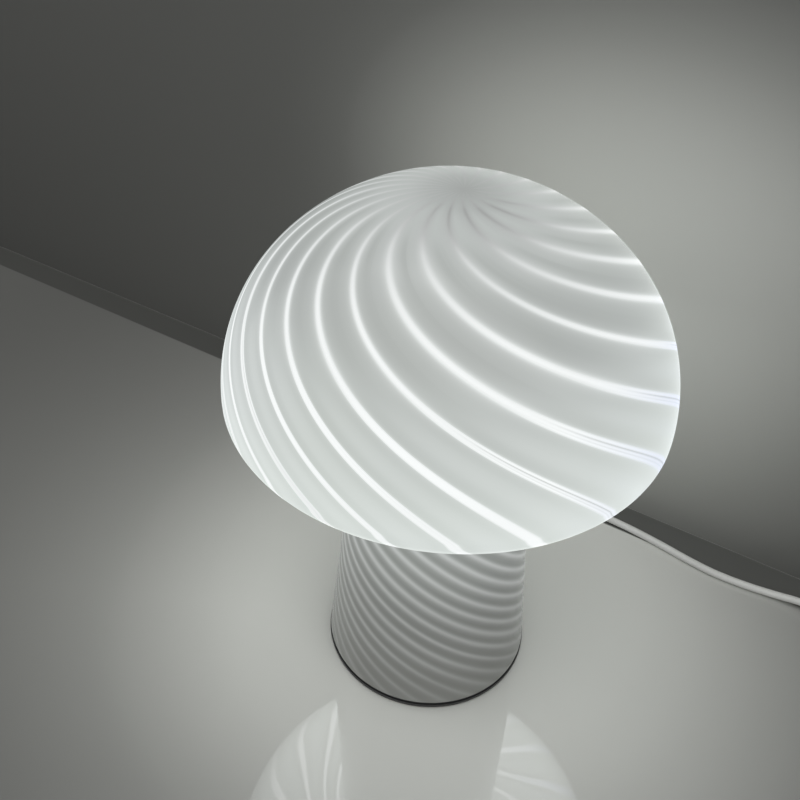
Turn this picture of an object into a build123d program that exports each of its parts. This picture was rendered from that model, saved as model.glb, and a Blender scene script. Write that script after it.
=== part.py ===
from build123d import *
import os
from math import cos, pi, radians, sin, sqrt, tan

os.makedirs("parts", exist_ok=True)

# Mushroom table lamp. Millimetres, +Z up, origin on the table under the lamp's axis.
# The lead leaves at the back, +Y.

# Glass body: one blown piece, a domed cap on a tapering stem
cap_radius = 90.0  # at the widest level
rim_height = 156.5  # from the table to the widest level
dome_height = 83.0  # from there to the crown
lip_depth = 9.0  # the lip curls under the widest level by this much
lip_reach = 11.0  # and ends this far in
underside_rise = 3.0  # the underside climbs from the lip to the stem
neck_radius = 35.3
foot_radius = 48.8
glass_wall = 3.0
neck_fillet = 12.0
foot_rounding = 1.2
notch_clearance = 0.4  # between the lead's notch in the foot and the strain relief

# Base
pad_thickness = 0.8
pad_outer_radius = 45.0
pad_inner_radius = 27.0
dish_radius = 49.0
rim_thickness = 1.4
floor_thickness = 1.8
dish_wall = 2.0
dish_height = 13.0  # from the underside of the floor to the lid's seat
spigot_clearance = 0.4
gasket_thickness = 0.5
gasket_width = 2.6
lid_thickness = 1.2
lid_inset = 0.3
weight_height = 7.0
weight_gap = 0.6
weight_bore = 11.0

# Fasteners
slip = 0.05  # radial clearance of a screw, rivet, rod or tube in its hole
boss_radius = 4.0
boss_circle = 33.0
boss_turn = 30.0
lid_screw_radius = 1.5
lid_screw_length = 8.0
small_screw_radius = 1.25
small_screw_length = 3.2
head_share = 1.9  # a screw head's radius over its shank's
head_height = 1.6
socket_depth = 0.8
socket_radius = 0.7

# Leaf springs that hold the glass
spring_count = 3
spring_width = 9.0
spring_thickness = 0.6
spring_foot = 12.0  # length of the flat foot on the lid
spring_rise = 11.0  # from the lid to where it presses on the glass
spring_tip = 5.0  # from there to its top
spring_lean = 2.4  # the tip leans in by this much
spring_bend = 1.6
spring_clearance = 0.3
rivet_radius = 1.4
rivet_head = 0.8

# Post and LED head
post_radius = 5.0
post_bore = 3.6
post_foot = 9.0  # lower end, above the table
post_recess = 0.4  # its upper end stays this far under the LED board
nut_width = 14.0
nut_height = 3.0
washer_radius = 9.5
washer_thickness = 1.0
head_seat = 126.0  # the LED board's underside, above the table
sink_radius = 29.0
sink_thickness = 2.4
hub_radius = 9.0
hub_height = 8.0
fin_count = 16
fin_height = 6.0
fin_thickness = 1.0
board_radius = 22.0
board_thickness = 1.6
chip_length = 3.5
chip_width = 2.8
chip_height = 0.7
cool_count = 10
cool_circle = 14.0
warm_count = 5
warm_circle = 7.4
warm_turn = 117.0
board_screw_circle = 18.5
resistor_length = 2.0
resistor_width = 1.2
resistor_height = 0.5
resistor_count = 4
wire_radius = 0.55
wire_circle = 2.2  # where the wires stand in the post
wire_fan = 0.95  # where they leave the cord
wire_end_circle = 6.6
wire_low_bend = 2.0
wire_high_bend = 1.2
wire_lift = 0.05

# Cord and strain relief
cord_radius = 2.0
exit_height = 6.9
relief_flange = 2.2
relief_flange_radius = 4.2
relief_neck_radius = 3.0
relief_body_radius = 3.4
relief_gap = 0.2
relief_collar = 1.8
relief_collar_radius = 4.1
relief_root_radius = 3.6
relief_tip_radius = 2.7
relief_tail = 17.0
saddle_place = 32.0  # behind the lamp's axis
saddle_width = 7.0
saddle_thickness = 1.2
saddle_half = 8.6
saddle_screw_offset = 5.8
seat_margin = 1.0
cord_stub_end = 24.0
bend_share = 0.45  # of the shorter run, as every free bend is made

# In-line control
control_length = 56.0
control_width = 22.0
control_height = 12.5
control_split = 5.0  # height of the parting line and of the cord
control_corner = 7.0
control_edge = 1.6
control_wall = 1.5
key_radius = 4.6
key_spacing = 20.0
key_proud = 1.0
key_travel = 0.6
key_flange = 0.8
key_flange_height = 0.9
key_gap = 0.15
key_stem_radius = 2.0
circuit_length = 31.0
circuit_width = 15.0
circuit_thickness = 1.2
circuit_seat = 4.0
ledge_spacing = 24.0
ledge_thickness = 2.0
tact_size = 5.2
tact_height = 2.2
plunger_radius = 1.4
plunger_height = 0.6
control_screw_offset = 20.0
control_post_radius = 3.6
control_screw_length = 6.0
sleeve_length = 8.0
sleeve_root_radius = 3.4
sleeve_tip_radius = 2.6
sleeve_neck_radius = 2.4
sleeve_flange_radius = 3.4
sleeve_flange = 1.4

# Coil: two layers of half turns
coil_radius = 32.0
climb_radius = 14.0  # of the half turn that climbs
coil_pitch = 5.0
coil_layer = 4.7
half_turns = 7  # in each layer, with one more half turn between them
coil_lead_in = 24.0  # cord between the control and the coil
coil_lead_out = 26.0  # and between the coil and the plug
lead_end_run = 6.0  # level run at each end of both
tie_thickness = 0.7
tie_width = 8.0
tie_gap = 0.2

# USB plug
grip_length = 28.0
grip_width = 15.6
grip_height = 8.4
grip_edge = 1.6
grip_taper = 9.0
grip_tip_radius = 2.7
shell_width = 12.0
shell_height = 4.5
shell_length = 12.0
shell_wall = 0.4
tongue_width = 10.4
tongue_height = 1.8
tongue_recess = 1.0
shell_seat = 4.0  # length inside the grip
contact_width = 1.0
contact_height = 0.2
contact_length = 7.0
contact_pitch = 2.2

# Levels above the table
rim_top = pad_thickness + rim_thickness
floor_top = pad_thickness + floor_thickness
glass_foot = rim_top + gasket_thickness
lid_seat = pad_thickness + dish_height
lid_top = lid_seat + lid_thickness
crown_height = rim_height + dome_height
lip_height = rim_height - lip_depth
neck_height = lip_height + underside_rise
board_top = head_seat + board_thickness
sink_underside = head_seat - sink_thickness
hub_foot = sink_underside - hub_height

# Where the control, the coil and the plug lie
control_start = (206.0, 30.0)  # tip of its first sleeve
control_heading = -27.0

# The free stretch from the strain relief to the control, before its last two points
cord_route = [
    (0.0, 80.0, exit_height),
    (4.0, 97.0, 2.6),
    (18.0, 108.0, 2.0),
    (40.0, 110.0, 2.0),
    (66.0, 103.0, 2.0),
    (94.0, 89.5, 2.0),
    (120.0, 75.0, 2.0),
    (150.0, 53.5, 2.0),
    (168.0, 45.5, 2.0),
    (184.0, 40.2, 2.2),
]
cord_last_run = 9.0

# The underside of the cap is an arc, level at the lip
lip_end = cap_radius - lip_reach
underside_radius = ((lip_end - neck_radius) ** 2 + underside_rise**2) / (2 * underside_rise)
stem_slope = (foot_radius - neck_radius) / (neck_height - glass_foot)


def glass_radius(height, inset=0.0):
    """Radius of the stem's cone at a height, inset square to the wall."""
    return foot_radius - stem_slope * (height - glass_foot) - inset * sqrt(1 + stem_slope**2)


def spigot_radius(height):
    """The dish's wall follows the inside of the glass."""
    return glass_radius(height, glass_wall) - spigot_clearance


def neck_corner(inset):
    """Where the stem's cone meets the underside's arc, both inset."""
    centre = lip_height + underside_radius
    arc = underside_radius - inset
    offset = glass_radius(0, inset) - lip_end
    a = 1 + stem_slope**2
    b = -2 * (offset * stem_slope + centre)
    c = offset**2 + centre**2 - arc**2
    height = (-b - sqrt(b**2 - 4 * a * c)) / (2 * a)
    return glass_radius(height, inset), height


def quarter_oval(centre, width, height, side):
    """Quarter of an oval, above (1) or below (-1) its centre: two arcs that meet at 45 degrees."""
    lean = sqrt(2) - 1
    tight = (height - lean * width) / (1 - lean)
    wide = tight + sqrt(2) * (width - tight)
    CenterArc((centre[0] + width - tight, centre[1]), tight, 0, 45 * side)
    CenterArc((centre[0], centre[1] + side * (height - wide)), wide, 45 * side, 45 * side)


def glass_outline(inset, bottom):
    """Closed half section of the glass from the axis out, inset from its surface."""
    corner = neck_corner(inset)
    with BuildSketch() as outline:
        with BuildLine():
            Polyline(
                (0, crown_height - inset), (0, bottom), (glass_radius(bottom, inset), bottom), corner
            )
            RadiusArc(corner, (lip_end, lip_height + inset), underside_radius - inset)
            quarter_oval((lip_end, rim_height), lip_reach - inset, lip_depth - inset, -1)
            quarter_oval((0, rim_height), cap_radius - inset, dome_height - inset, 1)
        make_face()
        neck = outline.vertices().sort_by_distance(Vertex(corner[0], corner[1], 0))[0]
        fillet(neck, neck_fillet + inset)
    return outline.sketch


def ring(outer, inner, bottom, height):
    """Flat ring, or a disc where inner is 0."""
    with BuildPart() as piece:
        with BuildSketch(Plane.XY.offset(bottom)):
            Circle(outer)
            if inner > 0:
                Circle(inner, mode=Mode.SUBTRACT)
        extrude(amount=height)
    return piece


def nut(bottom):
    """Hexagon nut on the post."""
    with BuildPart() as piece:
        with BuildSketch(Plane.XY.offset(bottom)):
            RegularPolygon(nut_width / 2, 6, major_radius=False)
            Circle(post_radius + slip, mode=Mode.SUBTRACT)
        extrude(amount=nut_height)
    return piece


def pan_screw(radius, length):
    """Pan-head screw with a hexagon socket, its shank down from the origin."""
    with BuildPart() as screw:
        with BuildSketch():
            Circle(radius)
        extrude(amount=-length)
        with BuildSketch():
            Circle(radius * head_share)
        extrude(amount=head_height)
        fillet(screw.edges().group_by(Axis.Z)[-1], head_height / 3)
        with BuildSketch(Plane.XY.offset(head_height)):
            RegularPolygon(socket_radius, 6)
        extrude(amount=-socket_depth, mode=Mode.SUBTRACT)
    return screw.part


def turned(plane, profile):
    """Solid turned about the plane's X axis from (along, radius) points."""
    with BuildPart() as piece:
        with BuildSketch(plane):
            with BuildLine():
                Polyline(*profile, close=True)
            make_face()
        revolve(axis=Axis(plane.origin, plane.x_dir))
    return piece


def upright(start, heading, height):
    """Upright plane that runs from a point on the table along a heading."""
    along = (cos(radians(heading)), sin(radians(heading)), 0)
    return Plane((start[0], start[1], height), x_dir=along, z_dir=(along[1], -along[0], 0))


def level(start, heading, height=0.0):
    """Level plane whose X runs along a heading."""
    along = (cos(radians(heading)), sin(radians(heading)), 0)
    return Plane((start[0], start[1], height), x_dir=along, z_dir=(0, 0, 1))


def bends(points):
    """Radius at each corner of a free route: as large as its two runs allow."""
    radii = []
    for before, corner, after in zip(points, points[1:], points[2:]):
        come, leave = Vector(corner) - Vector(before), Vector(after) - Vector(corner)
        half_turn = radians(come.get_angle(leave)) / 2
        radii.append(bend_share * min(come.length, leave.length) / tan(half_turn))
    return radii


def tube(path, radius):
    """Round tube along the line of a BuildLine block."""
    with BuildPart() as piece:
        add(path.line)
        with BuildSketch(Plane(path.line @ 0, z_dir=path.line % 0)):
            Circle(radius)
        sweep()
    return piece


def report_tube(name, piece, path, radius):
    """Prints a tube's volume beside its section times its length."""
    length = sum(edge.length for edge in path.line.edges())
    print(f"{name}: length {length:.1f}, volume {piece.part.volume:.1f} of {pi * radius**2 * length:.1f}")


def save(piece, name):
    piece.part.label = name
    export_step(piece.part, f"parts/{name}.step")


behind = Plane((0, 0, exit_height), x_dir=(-1, 0, 0), z_dir=(0, 1, 0))  # looks out along the cord


# Glass body: revolved, its foot rounded, with an open notch for the cord
notch_radius = relief_body_radius + notch_clearance

with BuildPart() as glass_body:
    with BuildSketch(Plane.XZ):
        add(glass_outline(0, glass_foot))
        add(glass_outline(glass_wall, glass_foot - glass_wall), mode=Mode.SUBTRACT)
    revolve(axis=Axis.Z)
    fillet(glass_body.edges().group_by(Axis.Z)[0], foot_rounding)
    with BuildSketch(behind.offset(foot_radius / 2)):
        Circle(notch_radius)
        with Locations((0, -exit_height / 2)):
            Rectangle(2 * notch_radius, exit_height)
    extrude(amount=foot_radius, mode=Mode.SUBTRACT)
save(glass_body, "glass_body")


# Base dish: floor and rim, a wall that centres the glass, bosses, and the saddle's seat
dish_inner_foot = spigot_radius(rim_top) - dish_wall
saddle_seat = exit_height - cord_radius

with BuildPart() as base_dish:
    with BuildSketch(Plane.XZ):
        with BuildLine():
            Polyline(
                (0, pad_thickness),
                (dish_radius, pad_thickness),
                (dish_radius, rim_top),
                (spigot_radius(rim_top), rim_top),
                (spigot_radius(lid_seat), lid_seat),
                (spigot_radius(lid_seat) - dish_wall, lid_seat),
                (dish_inner_foot, floor_top),
                (0, floor_top),
                close=True,
            )
        make_face()
    revolve(axis=Axis.Z)
    with BuildSketch(Plane.XY.offset(floor_top)):
        with PolarLocations(boss_circle, 3, start_angle=boss_turn):
            Circle(boss_radius)
    extrude(amount=lid_seat - floor_top)
    with BuildSketch(Plane.XY.offset(floor_top)):
        with Locations((0, saddle_place)):
            Rectangle(2 * saddle_half, saddle_width + 2 * seat_margin)
    extrude(amount=saddle_seat - floor_top)
    with Locations((0, 0, lid_seat)):
        with PolarLocations(boss_circle, 3, start_angle=boss_turn):
            Hole(lid_screw_radius + slip, lid_screw_length)
    with Locations((-saddle_screw_offset, saddle_place, saddle_seat),
                   (saddle_screw_offset, saddle_place, saddle_seat)):
        Hole(small_screw_radius + slip, small_screw_length - saddle_thickness)
    with BuildSketch(behind.offset(saddle_place + saddle_width)):
        Circle(relief_neck_radius + relief_gap)
        with Locations((0, dish_height / 2)):
            Rectangle(2 * (relief_neck_radius + relief_gap), dish_height)
    extrude(amount=dish_radius, mode=Mode.SUBTRACT)
save(base_dish, "base_dish")

foot_pad = ring(pad_outer_radius, pad_inner_radius, 0, pad_thickness)
save(foot_pad, "foot_pad")

gasket_outer = foot_radius - foot_rounding / 2
glass_gasket = ring(gasket_outer, gasket_outer - gasket_width, rim_top, gasket_thickness)
save(glass_gasket, "glass_gasket")


# Weight: a cast ring round the bosses, open at the back for the cord
with BuildPart() as base_weight:
    with BuildSketch(Plane.XY.offset(floor_top)):
        Circle(spigot_radius(lid_seat) - dish_wall - weight_gap)
        Circle(weight_bore, mode=Mode.SUBTRACT)
        with PolarLocations(boss_circle, 3, start_angle=boss_turn):
            Circle(boss_radius + weight_gap, mode=Mode.SUBTRACT)
        with Locations((0, dish_radius / 2)):
            Rectangle(2 * (saddle_half + weight_gap), dish_radius, mode=Mode.SUBTRACT)
    extrude(amount=weight_height)
save(base_weight, "base_weight")


# Leaf springs: a foot riveted to the lid, a leg out to the glass and a tip that leans in
spring_press = sqrt(
    (glass_radius(lid_top + spring_rise, glass_wall) - spring_clearance) ** 2
    - (spring_width / 2) ** 2
) - spring_thickness / 2
spring_root = spring_press - spring_lean
rivet_circle = spring_root - spring_foot / 2
spring_turn = boss_turn + 60
spring_level = lid_top + spring_thickness / 2

for number in range(spring_count):
    turn = spring_turn + number * 360 / spring_count
    with BuildPart() as spring:
        with BuildSketch(upright((0, 0), turn, 0)):
            with BuildLine():
                FilletPolyline(
                    (spring_root - spring_foot, spring_level),
                    (spring_root, spring_level),
                    (spring_press, lid_top + spring_rise),
                    (spring_press - spring_lean, lid_top + spring_rise + spring_tip),
                    radius=spring_bend,
                )
            trace(line_width=spring_thickness)
        extrude(amount=spring_width / 2, both=True)
        with BuildSketch(level((0, 0), turn, lid_top)):
            with Locations((rivet_circle, 0)):
                Circle(rivet_radius + slip)
        extrude(amount=spring_thickness, mode=Mode.SUBTRACT)
    save(spring, f"leaf_spring_{number + 1}")

rivet_stack = lid_thickness + spring_thickness

with BuildPart() as spring_rivets:
    for bottom, radius, height in (
        (lid_seat, rivet_radius, rivet_stack),
        (lid_seat - rivet_head, rivet_radius * head_share, rivet_head),
        (lid_seat + rivet_stack, rivet_radius * head_share, rivet_head),
    ):
        with BuildSketch(Plane.XY.offset(bottom)):
            with PolarLocations(rivet_circle, spring_count, start_angle=spring_turn):
                Circle(radius)
        extrude(amount=height)
save(spring_rivets, "spring_rivets")


# Lid: closes the dish and carries the springs and the post
with BuildPart() as base_lid:
    with BuildSketch(Plane.XY.offset(lid_seat)):
        Circle(spigot_radius(lid_seat) - lid_inset)
        Circle(post_radius + slip, mode=Mode.SUBTRACT)
        with PolarLocations(boss_circle, 3, start_angle=boss_turn):
            Circle(lid_screw_radius + slip, mode=Mode.SUBTRACT)
        with PolarLocations(rivet_circle, spring_count, start_angle=spring_turn):
            Circle(rivet_radius + slip, mode=Mode.SUBTRACT)
    extrude(amount=lid_thickness)
save(base_lid, "base_lid")

lid_screw = pan_screw(lid_screw_radius, lid_screw_length)
with BuildPart() as lid_screws:
    with Locations((0, 0, lid_top)):
        with PolarLocations(boss_circle, 3, start_angle=boss_turn):
            add(lid_screw)
save(lid_screws, "lid_screws")


# Post and its nuts
lamp_post = ring(post_radius, post_bore, post_foot, head_seat - post_recess - post_foot)
save(lamp_post, "lamp_post")
save(nut(lid_seat - nut_height), "lower_nut")
post_washer = ring(washer_radius, post_radius + slip, lid_top, washer_thickness)
save(post_washer, "post_washer")
save(nut(lid_top + washer_thickness), "upper_nut")
save(nut(hub_foot - nut_height), "lock_nut")


# Heat sink: a disc with a hub on the post and radial fins under it
fin_reach = sink_radius - hub_radius

with BuildPart() as heat_sink:
    with BuildSketch(Plane.XY.offset(sink_underside)):
        Circle(sink_radius)
    extrude(amount=sink_thickness)
    with BuildSketch(Plane.XY.offset(hub_foot)):
        Circle(hub_radius)
    extrude(amount=hub_height)
    with BuildSketch(Plane.XY.offset(sink_underside)):
        with PolarLocations(hub_radius + fin_reach / 2 - fin_thickness, fin_count):
            Rectangle(fin_reach, fin_thickness)
    extrude(amount=-fin_height)
    with Locations((0, 0, head_seat)):
        Hole(post_radius + slip)
    with Locations((0, 0, head_seat)):
        with PolarLocations(board_screw_circle, 2):
            Hole(small_screw_radius + slip)
save(heat_sink, "heat_sink")


# LED board with its chips, resistors and screws
with BuildPart() as led_board:
    with BuildSketch(Plane.XY.offset(head_seat)):
        Circle(board_radius)
        Circle(post_bore, mode=Mode.SUBTRACT)
        with PolarLocations(board_screw_circle, 2):
            Circle(small_screw_radius + slip, mode=Mode.SUBTRACT)
    extrude(amount=board_thickness)
save(led_board, "led_board")

for name, circle, count, turn in (
    ("cool_leds", cool_circle, cool_count, warm_turn),
    ("warm_leds", warm_circle, warm_count, warm_turn),
):
    with BuildPart() as chips:
        with BuildSketch(Plane.XY.offset(board_top)):
            with PolarLocations(circle, count, start_angle=turn):
                Rectangle(chip_width, chip_length)
        extrude(amount=chip_height)
    save(chips, name)

with BuildPart() as board_resistors:
    with BuildSketch(Plane.XY.offset(board_top)):
        with PolarLocations(board_screw_circle, resistor_count, start_angle=45):
            Rectangle(resistor_width, resistor_length)
    extrude(amount=resistor_height)
save(board_resistors, "board_resistors")

board_screw = pan_screw(small_screw_radius, small_screw_length)
with BuildPart() as board_screws:
    with Locations((0, 0, board_top)):
        with PolarLocations(board_screw_circle, 2):
            add(board_screw)
save(board_screws, "board_screws")


# Wires: from the end of the cord up the post to the board, each beside a warm chip
half_pitch = 180 / warm_count
wire_top = board_top + wire_radius + wire_lift

for name, fan_turn, stand_turn in (
    ("warm_wire", 210, warm_turn + half_pitch),
    ("cool_wire", 90, warm_turn + 5 * half_pitch),
    ("common_wire", 330, warm_turn - 3 * half_pitch),
):
    fan = (wire_fan * cos(radians(fan_turn)), wire_fan * sin(radians(fan_turn)))
    out = (cos(radians(stand_turn)), sin(radians(stand_turn)))
    stand = (wire_circle * out[0], wire_circle * out[1])
    with BuildLine() as wire_path:
        FilletPolyline(
            (fan[0], cord_stub_end, exit_height + fan[1]),
            (stand[0], stand[1], exit_height + fan[1]),
            (stand[0], stand[1], wire_top),
            (wire_end_circle * out[0], wire_end_circle * out[1], wire_top),
            radius=[wire_low_bend, wire_high_bend],
        )
    wire = tube(wire_path, wire_radius)
    report_tube(name, wire, wire_path, wire_radius)
    save(wire, name)


# Strain relief: its neck sits in the dish's wall and its body in the glass's notch
relief_root = spigot_radius(exit_height + relief_flange_radius) - dish_wall - relief_gap
relief_body = spigot_radius(rim_top) + relief_gap
relief_step = dish_radius + relief_gap
relief_tip = relief_step + relief_collar + relief_tail

strain_relief = turned(
    Plane((0, 0, exit_height), x_dir=(0, 1, 0), z_dir=(1, 0, 0)),
    [
        (relief_root - relief_flange, 0),
        (relief_root - relief_flange, relief_flange_radius),
        (relief_root, relief_flange_radius),
        (relief_root, relief_neck_radius),
        (relief_body, relief_neck_radius),
        (relief_body, relief_body_radius),
        (relief_step, relief_body_radius),
        (relief_step, relief_collar_radius),
        (relief_step + relief_collar, relief_collar_radius),
        (relief_step + relief_collar, relief_root_radius),
        (relief_tip, relief_tip_radius),
        (relief_tip, 0),
    ],
)
save(strain_relief, "strain_relief")

with BuildPart() as cord_stub:
    with BuildSketch(behind.offset(cord_stub_end)):
        Circle(cord_radius)
    extrude(amount=relief_root - relief_flange - cord_stub_end)
save(cord_stub, "cord_stub")

saddle_bore = cord_radius + slip
saddle_crown = saddle_bore + saddle_thickness

with BuildPart() as cord_saddle:
    with BuildSketch(behind.offset(saddle_place - saddle_width / 2)):
        Circle(saddle_crown)
        with Locations((0, -cord_radius / 2)):
            Rectangle(2 * saddle_crown, cord_radius)
        with Locations((0, -saddle_crown - cord_radius)):
            Rectangle(2 * saddle_crown, 2 * saddle_crown, mode=Mode.SUBTRACT)
        with Locations((0, saddle_thickness / 2 - cord_radius)):
            Rectangle(2 * saddle_half, saddle_thickness)
        Circle(saddle_bore, mode=Mode.SUBTRACT)
        with Locations((0, -cord_radius / 2)):
            Rectangle(2 * saddle_bore, cord_radius, mode=Mode.SUBTRACT)
    extrude(amount=saddle_width)
    with Locations((-saddle_screw_offset, saddle_place, exit_height),
                   (saddle_screw_offset, saddle_place, exit_height)):
        Hole(small_screw_radius + slip)
save(cord_saddle, "cord_saddle")

small_screw = pan_screw(small_screw_radius, small_screw_length)
with BuildPart() as saddle_screws:
    with Locations((-saddle_screw_offset, saddle_place, saddle_seat + saddle_thickness),
                   (saddle_screw_offset, saddle_place, saddle_seat + saddle_thickness)):
        add(small_screw)
save(saddle_screws, "saddle_screws")


# Free stretch of the cord, from the strain relief to the in-line control
control_plan = level(control_start, control_heading)
last_corner = control_plan.from_local_coords(Vector(-cord_last_run, 0, control_split))
cord_end = control_plan.from_local_coords(Vector(0, 0, control_split))
cord_points = [(0, relief_tip, exit_height), *cord_route, tuple(last_corner), tuple(cord_end)]
cord_bends = bends(cord_points)
print("cord bend radii:", " ".join(f"{radius:.0f}" for radius in cord_bends))

with BuildLine() as cord_path:
    FilletPolyline(*cord_points, radius=cord_bends)
power_cord = tube(cord_path, cord_radius)
report_tube("power_cord", power_cord, cord_path, cord_radius)
save(power_cord, "power_cord")


# In-line control: two shells, screws, circuit board, tact switches and keys
control_middle = sleeve_length + control_length / 2
pocket_length = control_length - 2 * control_wall
pocket_width = control_width - 2 * control_wall
pocket_corner = control_corner - control_wall
screw_head_radius = small_screw_radius * head_share
control_bore = upright(control_start, control_heading, control_split)
control_across = Plane(control_bore.origin, z_dir=control_bore.x_dir)


def control_level(height):
    """Level plane at the middle of the control."""
    centre = control_plan.from_local_coords(Vector(control_middle, 0, height))
    return level((centre.X, centre.Y), control_heading, height)


with BuildPart() as control_lower:
    with BuildSketch(control_level(0)):
        RectangleRounded(control_length, control_width, control_corner)
    extrude(amount=control_split)
    fillet(control_lower.edges().group_by(Axis.Z)[0], control_edge)
    with BuildSketch(control_level(control_wall)):
        RectangleRounded(pocket_length, pocket_width, pocket_corner)
    extrude(amount=control_split - control_wall, mode=Mode.SUBTRACT)
    with BuildSketch(control_level(0)):
        with GridLocations(2 * control_screw_offset, 0, 2, 1):
            Circle(control_post_radius)
    extrude(amount=control_split)
    with BuildSketch(control_level(control_wall)):
        with GridLocations(ledge_spacing, 0, 2, 1):
            Rectangle(ledge_thickness, pocket_width)
    extrude(amount=circuit_seat - control_wall)
    with BuildSketch(control_level(0)):
        with GridLocations(2 * control_screw_offset, 0, 2, 1):
            Circle(small_screw_radius + slip)
    extrude(amount=control_split, mode=Mode.SUBTRACT)
    with BuildSketch(control_level(0)):
        with GridLocations(2 * control_screw_offset, 0, 2, 1):
            Circle(screw_head_radius + relief_gap)
    extrude(amount=head_height + relief_gap, mode=Mode.SUBTRACT)
    with BuildSketch(control_across.offset(sleeve_length)):
        Circle(sleeve_neck_radius + slip)
    extrude(amount=2 * control_wall, mode=Mode.SUBTRACT)
    with BuildSketch(control_across.offset(sleeve_length + control_length)):
        Circle(sleeve_neck_radius + slip)
    extrude(amount=-2 * control_wall, mode=Mode.SUBTRACT)
save(control_lower, "control_lower_shell")

with BuildPart() as control_upper:
    with BuildSketch(control_level(control_split)):
        RectangleRounded(control_length, control_width, control_corner)
    extrude(amount=control_height - control_split)
    fillet(control_upper.edges().group_by(Axis.Z)[-1], control_edge)
    with BuildSketch(control_level(control_split)):
        RectangleRounded(pocket_length, pocket_width, pocket_corner)
    extrude(amount=control_height - control_wall - control_split, mode=Mode.SUBTRACT)
    with BuildSketch(control_level(control_split)):
        with GridLocations(2 * control_screw_offset, 0, 2, 1):
            Circle(control_post_radius)
    extrude(amount=control_height - control_wall - control_split)
    with BuildSketch(control_level(control_split)):
        with GridLocations(2 * control_screw_offset, 0, 2, 1):
            Circle(small_screw_radius + slip)
    extrude(amount=control_screw_length, mode=Mode.SUBTRACT)
    with BuildSketch(control_level(control_height)):
        with GridLocations(key_spacing, 0, 2, 1):
            Circle(key_radius + key_gap)
    extrude(amount=-2 * control_wall, mode=Mode.SUBTRACT)
    with BuildSketch(control_across.offset(sleeve_length)):
        Circle(sleeve_neck_radius + slip)
    extrude(amount=2 * control_wall, mode=Mode.SUBTRACT)
    with BuildSketch(control_across.offset(sleeve_length + control_length)):
        Circle(sleeve_neck_radius + slip)
    extrude(amount=-2 * control_wall, mode=Mode.SUBTRACT)
save(control_upper, "control_upper_shell")

control_screw = pan_screw(small_screw_radius, control_screw_length)
with BuildPart() as control_screws:
    for side in (-1, 1):
        place = control_plan.from_local_coords(
            Vector(control_middle + side * control_screw_offset, 0, head_height + relief_gap)
        )
        with Locations(Location(place, (180, 0, 0))):
            add(control_screw)
save(control_screws, "control_screws")

with BuildPart() as control_board:
    with BuildSketch(control_level(circuit_seat)):
        Rectangle(circuit_length, circuit_width)
    extrude(amount=circuit_thickness)
save(control_board, "control_board")

tact_base = circuit_seat + circuit_thickness
plunger_top = tact_base + tact_height + plunger_height

with BuildPart() as tact_switches:
    with BuildSketch(control_level(tact_base)):
        with GridLocations(key_spacing, 0, 2, 1):
            Rectangle(tact_size, tact_size)
    extrude(amount=tact_height)
    with BuildSketch(control_level(tact_base + tact_height)):
        with GridLocations(key_spacing, 0, 2, 1):
            Circle(plunger_radius)
    extrude(amount=plunger_height)
save(tact_switches, "tact_switches")

key_stop = control_height - control_wall - key_gap
key_foot = plunger_top + key_travel + key_gap

for name, side in (("power_key", -1), ("dimmer_key", 1)):
    place = (side * key_spacing / 2, 0)
    with BuildPart() as key:
        for bottom, top, radius in (
            (key_foot, key_stop - key_flange_height, key_stem_radius),
            (key_stop - key_flange_height, key_stop, key_radius + key_flange),
            (key_stop, control_height + key_proud, key_radius),
        ):
            with BuildSketch(control_level(bottom)):
                with Locations(place):
                    Circle(radius)
            extrude(amount=top - bottom)
        fillet(key.edges().group_by(Axis.Z)[-1], key_proud / 2)
    save(key, name)


def cord_sleeve(start, heading):
    """Sleeve with its tip at start, whose neck passes through the control's end wall."""
    flange = sleeve_length + control_wall + slip
    return turned(
        upright(start, heading, control_split),
        [
            (0, 0),
            (0, sleeve_tip_radius),
            (sleeve_length - slip, sleeve_root_radius),
            (sleeve_length - slip, sleeve_neck_radius),
            (flange, sleeve_neck_radius),
            (flange, sleeve_flange_radius),
            (flange + sleeve_flange, sleeve_flange_radius),
            (flange + sleeve_flange, 0),
        ],
    )


control_end = control_plan.from_local_coords(Vector(2 * sleeve_length + control_length, 0, 0))
save(cord_sleeve(control_start, control_heading), "inlet_sleeve")
save(cord_sleeve((control_end.X, control_end.Y), control_heading + 180), "outlet_sleeve")


# Coil: spirals in on the table, climbs in the half turn where it turns back, and spirals out
coil_low = tie_thickness + tie_gap + cord_radius
coil_high = coil_low + coil_layer
plug_level = grip_height / 2
coil_centre = control_plan.from_local_coords(
    Vector(2 * sleeve_length + control_length + coil_lead_in, -coil_radius, 0)
)
coil_plan = level((coil_centre.X, coil_centre.Y), control_heading + 90)
turn_ends = [coil_radius - number * coil_pitch / 2 for number in range(half_turns)]
turn_ends.append(climb_radius)
turn_radii = turn_ends + turn_ends[::-1]


def coil_point(number):
    """End of a half turn: they lie on the coil's X axis by turns."""
    side = 1 if number % 2 == 0 else -1
    height = coil_low if number <= half_turns else coil_high
    return coil_plan.from_local_coords(Vector(side * turn_radii[number], 0, height))


def half_turn(number):
    """Two arcs from one end of a half turn to the next, level at both ends."""
    start, end = coil_point(number), coil_point(number + 1)
    along = coil_plan.y_dir * (-1 if number % 2 == 0 else 1)
    middle = (start + end) / 2 + along * ((end - start).length / 2)
    TangentArc(start, middle, tangent=along)
    TangentArc(middle, end, tangent=(end - start).normalized())


def slope(side, far, near_level, far_level):
    """Cord between the coil and what it meets, level at both ends."""
    points = [
        coil_plan.from_local_coords(Vector(side * coil_radius, place, height))
        for place, height in (
            (0, near_level),
            (lead_end_run, near_level),
            (far - lead_end_run, far_level),
            (far, far_level),
        )
    ]
    return points if side < 0 else points[::-1]


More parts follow.
